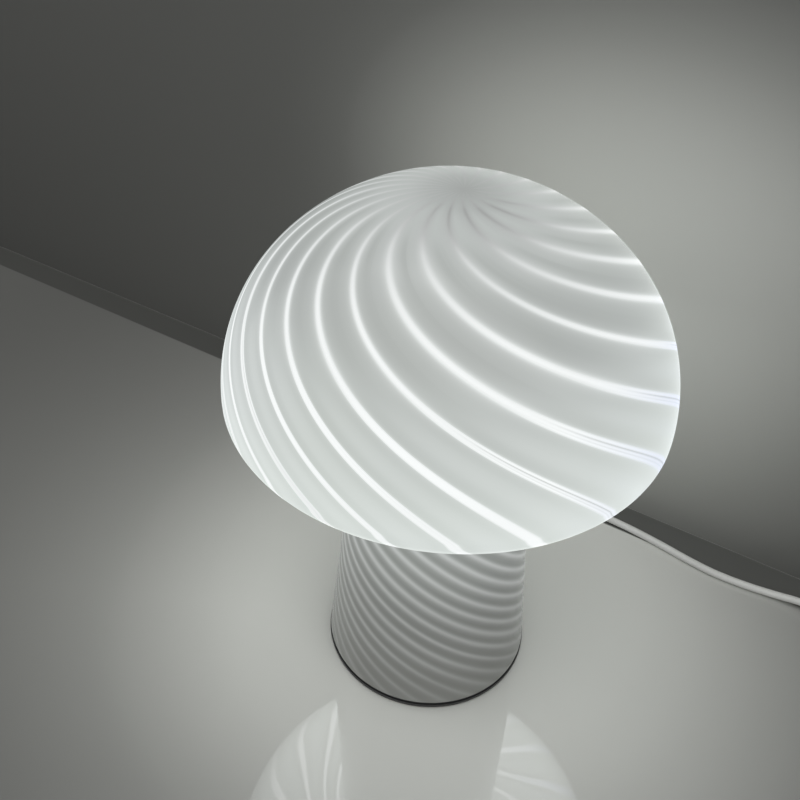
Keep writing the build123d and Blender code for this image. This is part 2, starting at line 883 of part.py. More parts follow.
with BuildLine() as coil_path:
    lead_in = slope(1, coil_lead_in, coil_low, control_split)
    FilletPolyline(*lead_in, radius=bends(lead_in))
    for number in range(2 * half_turns + 1):
        half_turn(number)
    lead_out = slope(-1, coil_lead_out, coil_high, plug_level)
    FilletPolyline(*lead_out, radius=bends(lead_out))
cord_coil = tube(coil_path, cord_radius)
report_tube("cord_coil", cord_coil, coil_path, cord_radius)
save(cord_coil, "cord_coil")

coil_wire = Wire(coil_path.line.edges())
sample_count = round(coil_wire.length / cord_radius)
samples = [coil_wire @ (number / sample_count) for number in range(sample_count + 1)]
least = min(
    (one - other).length
    for number, one in enumerate(samples)
    for other in samples[number + 6:]
)
print(f"coil's least gap to itself: {least - 2 * cord_radius:.2f}")

# Tie: a band round the coil where all its turns lie side by side
inmost = (turn_ends[-1] + turn_ends[-2]) / 2 - cord_radius
tie_inner = sqrt(inmost**2 - (tie_width / 2 + coil_pitch / 2) ** 2) - tie_gap
tie_outer = coil_radius - coil_pitch / 4 + cord_radius + tie_gap
tie_span = tie_outer - tie_inner
tie_height = coil_high + cord_radius + tie_gap - tie_thickness
tie_section = Plane(coil_plan.origin, x_dir=-coil_plan.y_dir, z_dir=-coil_plan.x_dir)

with BuildPart() as coil_tie:
    with BuildSketch(tie_section):
        with Locations((tie_inner + tie_span / 2, tie_thickness + tie_height / 2)):
            RectangleRounded(
                tie_span + 2 * tie_thickness, tie_height + 2 * tie_thickness, 2 * tie_thickness
            )
            RectangleRounded(tie_span, tie_height, tie_thickness, mode=Mode.SUBTRACT)
    extrude(amount=tie_width / 2, both=True)
save(coil_tie, "coil_tie")


# USB plug: moulded grip with a tapered tail, steel shell, tongue and contacts
plug_start = coil_plan.from_local_coords(Vector(-coil_radius, coil_lead_out, 0))
plug_heading = control_heading + 180
plug_axis = upright((plug_start.X, plug_start.Y), plug_heading, plug_level)
plug_across = Plane(plug_axis.origin, x_dir=-plug_axis.z_dir, z_dir=plug_axis.x_dir)
shell_start = grip_taper + grip_length - shell_seat
tongue_drop = (shell_height - tongue_height) / 2 - shell_wall

with BuildPart() as plug_grip:
    with BuildSketch(plug_across):
        Circle(grip_tip_radius)
    with BuildSketch(plug_across.offset(grip_taper)):
        Circle(grip_height / 2 - grip_edge / 2)
    loft()
    with BuildPart(mode=Mode.PRIVATE) as grip_block:
        with BuildSketch(plug_across.offset(grip_taper)):
            Rectangle(grip_width, grip_height)
        extrude(amount=grip_length)
        fillet(grip_block.edges(), grip_edge)
    add(grip_block.part)
    with BuildSketch(plug_across.offset(shell_start)):
        Rectangle(shell_width + 2 * slip, shell_height + 2 * slip)
    extrude(amount=shell_seat, mode=Mode.SUBTRACT)
save(plug_grip, "plug_grip")

with BuildPart() as plug_shell:
    with BuildSketch(plug_across.offset(shell_start)):
        RectangleRounded(shell_width, shell_height, 1.5 * shell_wall)
        RectangleRounded(
            shell_width - 2 * shell_wall, shell_height - 2 * shell_wall, shell_wall / 2,
            mode=Mode.SUBTRACT,
        )
    extrude(amount=shell_seat + shell_length)
save(plug_shell, "plug_shell")

with BuildPart() as plug_tongue:
    with BuildSketch(plug_across.offset(shell_start)):
        with Locations((0, -tongue_drop)):
            Rectangle(tongue_width, tongue_height)
    extrude(amount=shell_seat + shell_length - tongue_recess)
save(plug_tongue, "plug_tongue")

with BuildPart() as plug_contacts:
    with BuildSketch(plug_across.offset(shell_start + shell_seat)):
        with Locations((0, (tongue_height + contact_height) / 2 - tongue_drop)):
            with GridLocations(contact_pitch, 0, 4, 1):
                Rectangle(contact_width, contact_height)
    extrude(amount=contact_length)
save(plug_contacts, "plug_contacts")
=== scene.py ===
import bpy
import numpy as np
from mathutils import Matrix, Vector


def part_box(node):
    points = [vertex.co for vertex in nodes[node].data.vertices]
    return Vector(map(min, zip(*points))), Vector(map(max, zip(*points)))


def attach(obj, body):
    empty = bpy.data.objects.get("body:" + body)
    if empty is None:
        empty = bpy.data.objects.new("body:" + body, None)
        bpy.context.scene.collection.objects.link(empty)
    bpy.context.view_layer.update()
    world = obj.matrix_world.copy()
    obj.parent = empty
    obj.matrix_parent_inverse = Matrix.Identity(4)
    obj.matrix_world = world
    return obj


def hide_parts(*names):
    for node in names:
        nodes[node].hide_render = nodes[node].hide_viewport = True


# Looks of a mushroom table lamp of blown opal glass, in metres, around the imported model
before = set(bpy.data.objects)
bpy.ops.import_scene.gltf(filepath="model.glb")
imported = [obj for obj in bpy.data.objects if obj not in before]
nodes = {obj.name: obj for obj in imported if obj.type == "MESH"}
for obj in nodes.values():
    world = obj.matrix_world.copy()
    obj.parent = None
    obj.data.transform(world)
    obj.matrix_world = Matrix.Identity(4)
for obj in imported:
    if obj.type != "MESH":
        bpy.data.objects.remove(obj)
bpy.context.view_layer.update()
print("loaded", len(nodes), "nodes")

cameraValues = {
    "focalLength": 39.527,
    "sensorWidth": 36.0,
    "nearest": 0.01,
    "place": (0.0, -0.28457, 0.37021),
    "down": 38.3796,
    "turn": -3.8039,
    "roll": 2.7199,
}


def unit(vector):
    return np.asarray(vector, float) / np.linalg.norm(vector)


def newPiece(name, data):
    piece = bpy.data.objects.new(name, data)
    bpy.context.scene.collection.objects.link(piece)
    return piece


def placeBy(piece, right, top, back, place):
    # Stands a camera or a light by its three directions and its place
    matrix = np.eye(4)
    matrix[:3] = np.stack([right, top, back, place], -1)
    piece.matrix_world = Matrix(matrix.tolist())


def placeCamera(values):
    # Looks forward and down, turned about the upright axis, then rolled about its line of sight
    down, turn, roll = (np.radians(values[key]) for key in ("down", "turn", "roll"))
    forward = np.array(
        [np.sin(turn) * np.cos(down), np.cos(turn) * np.cos(down), -np.sin(down)])
    level = np.array([np.cos(turn), -np.sin(turn), 0.0])
    upright = np.cross(level, forward)
    right = np.cos(roll) * level + np.sin(roll) * upright
    top = -np.sin(roll) * level + np.cos(roll) * upright
    data = bpy.data.cameras.new("camera")
    data.lens, data.sensor_width = values["focalLength"], values["sensorWidth"]
    data.clip_start = values["nearest"]
    camera = newPiece("camera", data)
    placeBy(camera, right, top, -forward, values["place"])
    bpy.context.scene.camera = camera


placeCamera(cameraValues)


def finished(piece, body, slot, *stoodFor):
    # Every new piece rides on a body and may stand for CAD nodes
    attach(piece, body)
    if stoodFor:
        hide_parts(*stoodFor)
    return piece


def surfaceMesh(name, grid, uv=None, along=False, caps=False, sharpAngle=45.0):
    # Grid of points, rows by columns, to a mesh. Each row closes on itself, along joins the last
    # row to the first, and caps close both end rows with a fan to the row's middle
    rows, columns = grid.shape[:2]
    number = np.arange(rows * columns).reshape(rows, columns)
    row, column = np.meshgrid(np.arange(rows if along else rows - 1), np.arange(columns),
                              indexing="ij")
    nextRow, nextColumn = (row + 1) % rows, (column + 1) % columns
    faces = np.stack([number[row, column], number[nextRow, column],
                      number[nextRow, nextColumn], number[row, nextColumn]], -1)
    faces = faces.reshape(-1, 4).tolist()
    vertices, corners = [grid.reshape(-1, 3)], []
    if uv is not None:
        corners.append(np.stack([uv[row, column], uv[row + 1, column], uv[row + 1, column + 1],
                                 uv[row, column + 1]], -2).reshape(-1, 2))
    for index, end in enumerate((0, rows - 1) if caps else ()):
        vertices.append(grid[end].mean(0, keepdims=True))
        order = [0, 1, 2] if end == 0 else [1, 0, 2]
        middle = np.full(columns, rows * columns + index)
        fan = np.stack([middle, number[end], np.roll(number[end], -1)], 1)[:, order]
        faces += fan.tolist()
        if uv is not None:
            here, beside = uv[end, :-1], uv[end, 1:]
            fan = np.stack([(here + beside) / 2, here, beside], 1)[:, order]
            corners.append(fan.reshape(-1, 2))
    mesh = bpy.data.meshes.new(name)
    mesh.from_pydata(np.concatenate(vertices).tolist(), [], faces)
    if uv is not None:
        layer = mesh.uv_layers.new(name="surface")
        layer.data.foreach_set("uv", np.concatenate(corners).astype(np.float32).ravel())
    mesh.polygons.foreach_set("use_smooth", np.ones(len(mesh.polygons), bool))
    mesh.set_sharp_from_angle(angle=np.radians(sharpAngle))
    mesh.update()
    return newPiece(name, mesh)


def arcPoints(centre, radius, start, end, count):
    # Points on a circle from one angle to another, in degrees, the last one left out
    angle = np.radians(np.linspace(start, end, count, endpoint=False))
    return np.stack([centre[0] + radius * np.cos(angle), centre[1] + radius * np.sin(angle)], -1)


def turnedGrid(origin, axis, up, profile, columns):
    # Profile of (distance along the axis, radius) carried round the axis, faces outward
    axis, up = unit(axis), unit(up)
    angle = np.linspace(0, 2 * np.pi, columns, endpoint=False)[None, :, None]
    along, radius = (np.asarray(profile)[:, index][:, None, None] for index in (0, 1))
    ring = np.cos(angle) * np.cross(axis, up) + np.sin(angle) * up
    return np.asarray(origin) + along * axis + radius * ring


def localToRow(points, centre, heading):
    # Turns points by the heading about Z and moves them to the centre
    points = np.asarray(points, float)
    turn = np.radians(heading)
    x = points[..., 0] * np.cos(turn) - points[..., 1] * np.sin(turn) + centre[0]
    y = points[..., 0] * np.sin(turn) + points[..., 1] * np.cos(turn) + centre[1]
    return np.stack([x, y, points[..., 2]], -1)


def ease(share):
    return share**2 * (3 - 2 * share)


# Shader nodes: an input takes a number, a colour or a socket to link

def feed(tree, socket, value):
    if isinstance(value, bpy.types.NodeSocket):
        tree.links.new(value, socket)
    else:
        socket.default_value = (*value, 1.0) if socket.type == "RGBA" else value


def fill(tree, node, **inputs):
    for key, value in inputs.items():
        feed(tree, node.inputs[key.replace("_", " ")], value)
    return node


def newNode(tree, kind, settings=None, **inputs):
    node = tree.nodes.new(kind)
    for key, value in (settings or {}).items():
        setattr(node, key, value)
    return fill(tree, node, **inputs)


def compute(tree, operation, value, *others):
    # A sum on one value or two, or on more, one after another
    for other in others or [None]:
        node = newNode(tree, "ShaderNodeMath", {"operation": operation})
        feed(tree, node.inputs[0], value)
        if other is not None:
            feed(tree, node.inputs[1], other)
        value = node.outputs[0]
    return value


def spread(tree, value, low, high, newLow=0.0, newHigh=1.0, smooth=False):
    node = newNode(tree, "ShaderNodeMapRange",
                   {"interpolation_type": "SMOOTHSTEP" if smooth else "LINEAR"})
    for socket, number in zip(node.inputs, (value, low, high, newLow, newHigh)):
        feed(tree, socket, number)
    return node.outputs[0]


def curveOf(tree, value, points):
    # A smooth curve through the points, the value from 0 to 1
    node = newNode(tree, "ShaderNodeFloatCurve", Value=value)
    curve = node.mapping.curves[0]
    curve.points[0].location, curve.points[1].location = points[0], points[-1]
    for point in points[1:-1]:
        curve.points.new(*point)
    node.mapping.update()
    return node.outputs[0]


def mix(tree, share, one, other, kind="RGBA"):
    node = newNode(tree, "ShaderNodeMix", {"data_type": kind})
    first, result = (6, 2) if kind == "RGBA" else (2, 0)
    for index, value in ((0, share), (first, one), (first + 1, other)):
        feed(tree, node.inputs[index], value)
    return node.outputs[result]


def noise(tree, place, scale, detail, roughness=0.5):
    return newNode(tree, "ShaderNodeTexNoise", Vector=place, Scale=scale, Detail=detail,
                   Roughness=roughness).outputs[0]


def partsOf(tree, vector):
    return newNode(tree, "ShaderNodeSeparateXYZ", Vector=vector).outputs


def vectorSum(tree, operation, *values):
    node = newNode(tree, "ShaderNodeVectorMath", {"operation": operation})
    for socket, value in zip([node.inputs["Scale"]] if operation == "SCALE" else node.inputs[1:],
                             values[1:]):
        feed(tree, socket, value)
    feed(tree, node.inputs[0], values[0])
    return node.outputs["Value" if operation == "DOT_PRODUCT" else "Vector"]


def distanceFrom(tree, byX, byY):
    return compute(tree, "SQRT", compute(
        tree, "ADD", compute(tree, "MULTIPLY", byX, byX), compute(tree, "MULTIPLY", byY, byY)))


def bumped(tree, height, depth, under=None, strength=1.0, invert=False):
    node = newNode(tree, "ShaderNodeBump", {"invert": invert}, Height=height, Distance=depth,
                   Strength=strength)
    if under is not None:
        feed(tree, node.inputs["Normal"], under)
    return node.outputs[0]


def newGroup(name, numbers, masks):
    # Shader group that takes a place and some numbers, and gives masks
    group = bpy.data.node_groups.new(name, "ShaderNodeTree")
    group.interface.new_socket("Vector", in_out="INPUT", socket_type="NodeSocketVector")
    for key, value in numbers.items():
        socket = group.interface.new_socket(key, in_out="INPUT", socket_type="NodeSocketFloat")
        socket.default_value = value
    for key in masks:
        group.interface.new_socket(key, in_out="OUTPUT", socket_type="NodeSocketFloat")
    given, out = (group.nodes.new(kind) for kind in ("NodeGroupInput", "NodeGroupOutput"))
    return group, given.outputs, out


def makeGrainGroup():
    # Broad tone, fine grain and rubbed patches of one surface, at one scale
    group, given, out = newGroup("surfaceGrain", {"Scale": 1000.0}, ["Tone", "Grain", "Rubbed"])
    place, scale = given["Vector"], given["Scale"]
    broad = noise(group, place, compute(group, "MULTIPLY", scale, 0.03), 3.0)
    patch = noise(group, place, compute(group, "MULTIPLY", scale, 0.09), 6.0, 0.7)
    fill(group, out, Tone=spread(group, broad, 0.3, 0.7), Grain=noise(group, place, scale, 2.0),
         Rubbed=spread(group, patch, 0.45, 0.7))
    return group


def makeEdgeGroup():
    # Share of wear along edges: where the rounded normal leaves the true one, broken up by noise
    group, given, out = newGroup("edgeWear", {"Radius": 0.0003, "Scale": 900.0}, ["Wear"])
    rounded = newNode(group, "ShaderNodeBevel", {"samples": 4}, Radius=given["Radius"])
    true = group.nodes.new("ShaderNodeNewGeometry").outputs["Normal"]
    agree = vectorSum(group, "DOT_PRODUCT", rounded.outputs[0], true)
    broken = noise(group, given["Vector"], given["Scale"], 4.0)
    fill(group, out, Wear=compute(group, "MULTIPLY", spread(group, agree, 0.995, 0.86),
                                  spread(group, broken, 0.35, 0.6)))
    return group


def makeDustGroup():
    # Dust lies on what faces up, in soft specks
    group, given, out = newGroup("dustFilm", {"Scale": 500.0}, ["Dust"])
    true = group.nodes.new("ShaderNodeNewGeometry").outputs["Normal"]
    specks = noise(group, given["Vector"], given["Scale"], 8.0, 0.75)
    fill(group, out, Dust=compute(
        group, "MULTIPLY", spread(group, partsOf(group, true)["Z"], 0.5, 1.0),
        spread(group, specks, 0.5, 0.8)))
    return group


grainGroup, edgeGroup, dustGroup = makeGrainGroup(), makeEdgeGroup(), makeDustGroup()


def startMaterial(name):
    material = bpy.data.materials.new(name)
    material.use_nodes = True
    tree = material.node_tree
    tree.nodes.clear()
    shader = tree.nodes.new("ShaderNodeBsdfPrincipled")
    fill(tree, tree.nodes.new("ShaderNodeOutputMaterial"), Surface=shader.outputs[0])
    place = tree.nodes.new("ShaderNodeTexCoord").outputs["Object"]
    return material, tree, shader, place


def groupOf(tree, group, **inputs):
    return newNode(tree, "ShaderNodeGroup", {"node_tree": group}, **inputs).outputs


def rubbedRoughness(tree, grain, low, high):
    return spread(tree, grain["Rubbed"], 0.0, 1.0, low, high)


def seamMask(tree, place, values):
    # Fine line where two shells meet, at one height
    away = compute(tree, "ABSOLUTE", compute(tree, "SUBTRACT", partsOf(tree, place)["Z"],
                                             values["height"]))
    return spread(tree, away, values["halfWidth"], 1.6 * values["halfWidth"], 1.0, 0.0)


def windowMask(tree, place, values):
    # Two oblong windows punched side by side through the sheath, in the plug's own directions
    turned = newNode(tree, "ShaderNodeMapping", {"vector_type": "TEXTURE"}, Vector=place,
                     Location=values["origin"],
                     Rotation=(0.0, 0.0, float(np.radians(values["heading"])))).outputs[0]
    parts = partsOf(tree, turned)
    masks = []
    for value, (middle, half) in ((parts["X"], values["along"]),
                                  (compute(tree, "ABSOLUTE", parts["Y"]), values["across"])):
        away = compute(tree, "ABSOLUTE", compute(tree, "SUBTRACT", value, middle))
        masks.append(spread(tree, away, half, half + values["blur"], 1.0, 0.0))
    return compute(tree, "MULTIPLY", *masks)


dustColour = (0.55, 0.54, 0.52)


def makeFinish(name, values):
    # Colour between two tones, worn edges, dust, rubbed roughness and a fine grain bump, with a
    # seam, windows or the cells of foam or cast metal where the values ask for them
    material, tree, shader, place = startMaterial(name)
    stretched = newNode(tree, "ShaderNodeMapping", Vector=place,
                        Scale=values.get("stretch", (1.0, 1.0, 1.0))).outputs[0]
    scale, depth = values["grain"]
    grain = groupOf(tree, grainGroup, Vector=stretched, Scale=scale)
    colour = mix(tree, grain["Tone"], values["colour"], values["other"])
    normal = bumped(tree, grain["Grain"], depth)
    if "worn" in values:
        edge = groupOf(tree, edgeGroup, Vector=place, Radius=values.get("edge", 0.0003))
        colour = mix(tree, edge["Wear"], colour, values["worn"])
    if "dust" in values:
        dust = groupOf(tree, dustGroup, Vector=place)
        share = compute(tree, "MULTIPLY", dust["Dust"], values["dust"])
        colour = mix(tree, share, colour, dustColour)
    for key, mask in (("seam", seamMask), ("windows", windowMask)):
        if key in values:
            opening = mask(tree, place, values[key])
            openColour, openDepth = values["open"]
            colour = mix(tree, opening, colour, openColour)
            normal = bumped(tree, opening, openDepth, normal, invert=True)
    if "cells" in values:
        cellScale, cellColour, cellDepth = values["cells"]
        cells = newNode(tree, "ShaderNodeTexVoronoi", Vector=place, Scale=cellScale)
        height = spread(tree, cells.outputs["Distance"], 0.1, 0.5)
        colour = mix(tree, height, cellColour, colour)
        normal = bumped(tree, height, cellDepth, normal)
    if "glow" in values:
        fill(tree, shader, Emission_Color=colour, Emission_Strength=values["glow"])
    fill(tree, shader, Base_Color=colour, Metallic=values.get("metallic", 0.0), Normal=normal,
         Roughness=rubbedRoughness(tree, grain, *values["roughness"]))
    return material


# Cords: the route's points are repeated from the part's source, in millimetres
cordValues = {
    "diameter": 4.0,
    "length": 254.0,
    "coilLength": 1116.1,
    "exit": (0.0, 0.068, 0.0069),
    "route": [
        (0, 68, 6.9), (0, 80, 6.9), (4, 97, 2.6), (18, 108, 2), (40, 110, 2), (66, 103, 2),
        (94, 89.5, 2), (120, 75, 2), (150, 53.5, 2), (168, 45.5, 2), (184, 40.2, 2.2),
        (197.981, 34.086, 5.0), (206, 30, 5.0),
    ],
    "stub": [(0, 24, 6.9), (0, 30, 6.9), (0, 36, 6.9), (0, 40.2, 6.9)],
    "coilCentre": (277.01, -42.09),
    "coilHeading": 63.0,
    "halfTurns": 7,
    "pointAngle": 30,
    "outerRadius": 32.0,
    "pitch": 5.0,
    "climbRadius": 14.0,
    "lowLevel": 2.9,
    "highLevel": 7.6,
    "leadIn": [(32, 24, 5.0), (32, 18, 5.0), (32, 6, 2.9)],
    "leadOut": [(-32, 6, 7.6), (-32, 20, 4.2), (-32, 26, 4.2)],
}


def coilPoints(values):
    # Half turns whose radius goes from one end's to the next, six points each
    count, step = values["halfTurns"], values["pointAngle"]
    ends = [values["outerRadius"] - index * values["pitch"] / 2 for index in range(count)]
    ends.append(values["climbRadius"])
    radii = np.array(ends + ends[::-1])
    swept = np.radians(np.arange(step / 2, 180, step))
    points = []
    for index in range(2 * count + 1):
        side = 1 if index % 2 == 0 else -1
        middle = side * (radii[index] - radii[index + 1]) / 2
        radius = (radii[index] + radii[index + 1]) / 2 / np.cos(np.radians(step / 2))
        level = [values["lowLevel"] if end <= count else values["highLevel"]
                 for end in (index, index + 1)]
        points.append(np.stack([
            middle + side * radius * np.cos(swept),
            -side * radius * np.sin(swept),
            level[0] + (level[1] - level[0]) * swept / np.pi,
        ], -1))
    return np.concatenate([values["leadIn"], *points, values["leadOut"]])


def laidCord(name, points, diameter):
    # One open NURBS spline whose control points are the route's points
    curve = bpy.data.curves.new(name, "CURVE")
    curve.dimensions = "3D"
    spline = curve.splines.new("NURBS")
    spline.points.add(len(points) - 1)
    flat = np.concatenate([np.asarray(points) / 1000, np.ones((len(points), 1))], 1)
    spline.points.foreach_set("co", flat.ravel())
    spline.points.foreach_set("radius", np.full(len(points), diameter / 2000))
    spline.order_u = 3
    spline.use_endpoint_u = True
    spline.use_smooth = True
    curve.resolution_u = 10
    curve.bevel_depth = 1.0
    curve.bevel_resolution = 6
    return newPiece(name, curve)


coilRoute = localToRow(coilPoints(cordValues), cordValues["coilCentre"],
                       cordValues["coilHeading"])
powerCord, coilCord, stubCord = (
    finished(laidCord(name, route, cordValues["diameter"]), "base", "cord_white", node)
    for name, route, node in (("powerCord", cordValues["route"], "power_cord"),
                              ("coilCord", coilRoute, "cord_coil"),
                              ("stubCord", cordValues["stub"], "cord_stub")))

wireValues = {
    "radius": 0.55, "bundle": 0.95, "stand": 2.2, "end": 6.6, "bend": 1.4, "footBend": 2.4,
    "middle": 60.0, "top": 128.2, "foot": 6.9, "start": 24.0,
    # Node, slot, turn in the bundle and turn round the post of each wire
    "wires": {
        "warmWire": ("warm_wire", "wire_red", 210, 153),
        "coolWire": ("cool_wire", "wire_white", 90, 297),
        "commonWire": ("common_wire", "wire_black", 330, 9),
    },
}


def innerWire(name, node, slot, bundleTurn, standTurn, values):
    # From the cord's end along the dish, up the post, and out to the board
    v = values
    place, out = (np.array([np.cos(turn), np.sin(turn)])
                  for turn in np.radians([bundleTurn, standTurn]))
    place, stand = v["bundle"] * place, v["stand"] * out
    level = v["foot"] + place[1]
    points = [
        (place[0], v["start"], level), (stand[0], stand[1] + v["footBend"], level),
        (*stand, level), (*stand, level + v["footBend"]), (*stand, v["middle"]),
        (*stand, v["top"] - v["bend"]), (*stand, v["top"]),
        (*(stand + v["bend"] * out), v["top"]), (*(v["end"] * out), v["top"]),
    ]
    return finished(laidCord(name, points, 2 * v["radius"]), "base", slot, node)


innerWires = {name: innerWire(name, *facts, wireValues)
              for name, facts in wireValues["wires"].items()}
print("cords laid")

# Blown glass, in millimetres
glassValues = {
    "capRadius": 90.0,
    "rimHeight": 156.5,
    "domeHeight": 83.0,
    "lipDepth": 9.0,
    "lipReach": 11.0,
    "undersideRise": 3.0,
    "neckRadius": 35.3,
    "footRadius": 48.8,
    "footHeight": 2.7,
    "wall": 3.0,
    "neckFillet": 12.0,
    "footRounding": 1.2,
    "stripes": 22,
    "columnsPerStripe": 12,
    "rowSpacing": 1.35,
    "innerSpacing": 4.0,
    "ribDepth": 0.22,
    "ribWidth": 0.2,
    "ribStart": 3.5,
    "ribFade": 4.0,
    "sharpAngle": 50,
    "notchRadius": 3.8,
    "notchHeight": 6.9,
    "notchFrom": 38.0,
    "notchTo": 56.0,
}
# How far a stripe has turned, on the cap by angle from the crown and on the stem by height, with
# slow changes round the axis because the glass was twisted by hand
swirlValues = {
    "cap": [6.204, -2.621, -0.079, 0.179, -1.102, 0.215, 0.524, -0.682, 0.442, -0.134,
            0.008, -0.155, -0.083, -0.146],
    "stem": [10.987, 6.02, 0.048, -0.372, 0.189, 0.047, 0.097, 0.164, 0.26, 0.084],
    "capFrom": 5,
    "capTo": 100,
    "capMiddle": 55,
    "capHalf": 35,
    "pastRim": -0.055,
    "leftBend": -0.22,
    "stemMiddle": 49,
    "stemTop": 0.8,
    "stemPast": 5.38,
    "stemWhole": 23,
    "ovalPower": 0.9737,
    "rimStretch": 1.45,
    "rounds": 40,
    "pull": 0.8,
}


def ovalQuarter(centre, width, height, side, spacing):
    # Two arcs that meet at 45 degrees, from the axis of the oval's height to that of its width
    lean = np.sqrt(2) - 1
    tight = (height - lean * width) / (1 - lean)
    wide = tight + np.sqrt(2) * (width - tight)
    counts = [max(4, int(round(radius * np.pi / 4 / spacing))) for radius in (wide, tight)]
    first = arcPoints((centre[0], centre[1] + side * (height - wide)), wide, 90 * side,
                      45 * side, counts[0])
    second = arcPoints((centre[0] + width - tight, centre[1]), tight, 45 * side, 0, counts[1])
    return np.concatenate([first, second])


def glassSection(values, inset, spacing):
    # Dome, lip, underside, neck fillet and stem, each as points of (radius, height)
    v = values
    lipHeight = v["rimHeight"] - v["lipDepth"]
    lipEnd = v["capRadius"] - v["lipReach"]
    slope = (v["footRadius"] - v["neckRadius"]) / (
        lipHeight + v["undersideRise"] - v["footHeight"])
    arc = ((lipEnd - v["neckRadius"]) ** 2 + v["undersideRise"] ** 2) / (2 * v["undersideRise"])
    dome = ovalQuarter((0, v["rimHeight"]), v["capRadius"] - inset, v["domeHeight"] - inset, 1,
                       spacing)
    lip = ovalQuarter((lipEnd, v["rimHeight"]), v["lipReach"] - inset, v["lipDepth"] - inset, -1,
                      spacing * 0.8)[::-1]
    # The fillet's centre is its radius from the cone and from the underside's arc
    square = np.sqrt(1 + slope**2)
    reach = v["neckFillet"]
    offset = v["footRadius"] + slope * v["footHeight"] + reach * square - lipEnd
    top = lipHeight + arc
    a, b = 1 + slope**2, -2 * (offset * slope + top)
    c = offset**2 + top**2 - (arc + reach) ** 2
    height = (-b - np.sqrt(b * b - 4 * a * c)) / (2 * a)
    centre = np.array([offset + lipEnd - slope * height, height])
    fillet = reach + inset
    away = unit(centre - np.array([lipEnd, top]))
    arcEnd = np.degrees(np.arctan2(away[1], away[0]))
    coneAngle = np.degrees(np.arctan2(-slope, -1.0)) % 360
    under = arcPoints((lipEnd, top), arc - inset, -90, arcEnd,
                      int(np.radians(arcEnd + 90) * -arc / spacing) or 12)
    startAngle = np.degrees(np.arctan2(-away[1], -away[0])) % 360
    neck = arcPoints(centre, fillet, startAngle, coneAngle,
                     max(6, int(fillet * np.radians(coneAngle - startAngle) / spacing)))
    coneTop = centre[1] - fillet * slope / square
    heights = np.linspace(coneTop, v["footHeight"] + v["footRounding"],
                          int((coneTop - v["footHeight"]) / spacing))
    radii = v["footRadius"] - slope * (heights - v["footHeight"]) - inset * square
    return dome, lip, under, neck, np.stack([radii, heights], -1)


def swirlOf(capStation, stemStation, cap, turn, values):
    # A stripe's phase less its turn about the axis. Cap is the share of the cap's swirl, the
    # stations are the angle from the crown there and the height on the stem
    v, e, s = values, values["cap"], values["stem"]
    held = np.clip(capStation, v["capFrom"], v["capTo"])
    t = (held - v["capMiddle"]) / v["capHalf"]
    cosine, sine = np.cos(turn), np.sin(turn)
    onCap = (e[0] + e[1] * t + e[2] * t**2 + e[3] * t**3
             + cosine * (e[4] + e[5] * t + e[6] * t**2) + sine * (e[7] + e[8] * t + e[9] * t**2)
             + np.cos(2 * turn) * (e[10] + e[11] * t) + np.sin(2 * turn) * (e[12] + e[13] * t)
             + (capStation - held) * np.where(capStation > v["capTo"], v["pastRim"], 0.0)
             + v["leftBend"] * np.clip(-cosine, 0, 1) ** 3)
    whole = stemStation / v["stemMiddle"] - 1
    low = np.clip(whole, -1.0, v["stemTop"])
    onStem = (s[0] + s[1] * low + s[2] * low**2 + s[3] * low**3 + v["stemPast"] * (whole - low)
              + cosine * (s[4] + s[5] * low) + sine * (s[6] + s[7] * low)
              + s[8] * np.cos(2 * turn) + s[9] * np.sin(2 * turn)) - v["stemWhole"]
    return cap * onCap + (1 - cap) * onStem


def stationsOf(values, inset, spacing):
    # The section's points, their stations for the swirl, the cap's share of it, and how far down
    # the section they lie for the material: 0 to 0.5 on the dome, to 0.6 at the neck, to 1
    dome, lip, under, neck, stem = glassSection(values, inset, spacing)
    points = np.concatenate([dome[1:], lip, under, neck, stem])
    lengths = np.concatenate([[0], np.cumsum(np.linalg.norm(np.diff(points, axis=0), axis=1))])
    rim = len(dome) - 1
    lipEnd = rim + len(lip)
    neckEnd = lipEnd + len(under) + len(neck)
    neckHeight = points[neckEnd, 1]
    # Angle from the crown, which goes on past the rim by length
    across = np.clip(points[:rim, 0] / (values["capRadius"] - inset), 0, 1)
    rise = np.clip((points[:rim, 1] - values["rimHeight"]) / (values["domeHeight"] - inset), 0, 1)
    power = swirlValues["ovalPower"]
    pastRim = lengths[rim:] - lengths[rim]
    capStation = np.concatenate([np.degrees(np.arctan2(across**power, rise**power)),
                                 90 + pastRim / swirlValues["rimStretch"]])
    stemStation = np.concatenate([neckHeight + lengths[neckEnd] - lengths[:neckEnd],
                                  points[neckEnd:, 1]])
    cap = 1 - ease(np.clip((lengths - lengths[lipEnd]) / (lengths[neckEnd] - lengths[lipEnd]),
                           0, 1))
    along = np.concatenate([
        capStation[:rim] / 180, 0.5 + 0.1 * pastRim[:neckEnd - rim] / pastRim[neckEnd - rim],
        0.6 + 0.4 * (neckHeight - points[neckEnd:, 1]) / (neckHeight - values["footHeight"])])
    return points, capStation, stemStation, cap, along


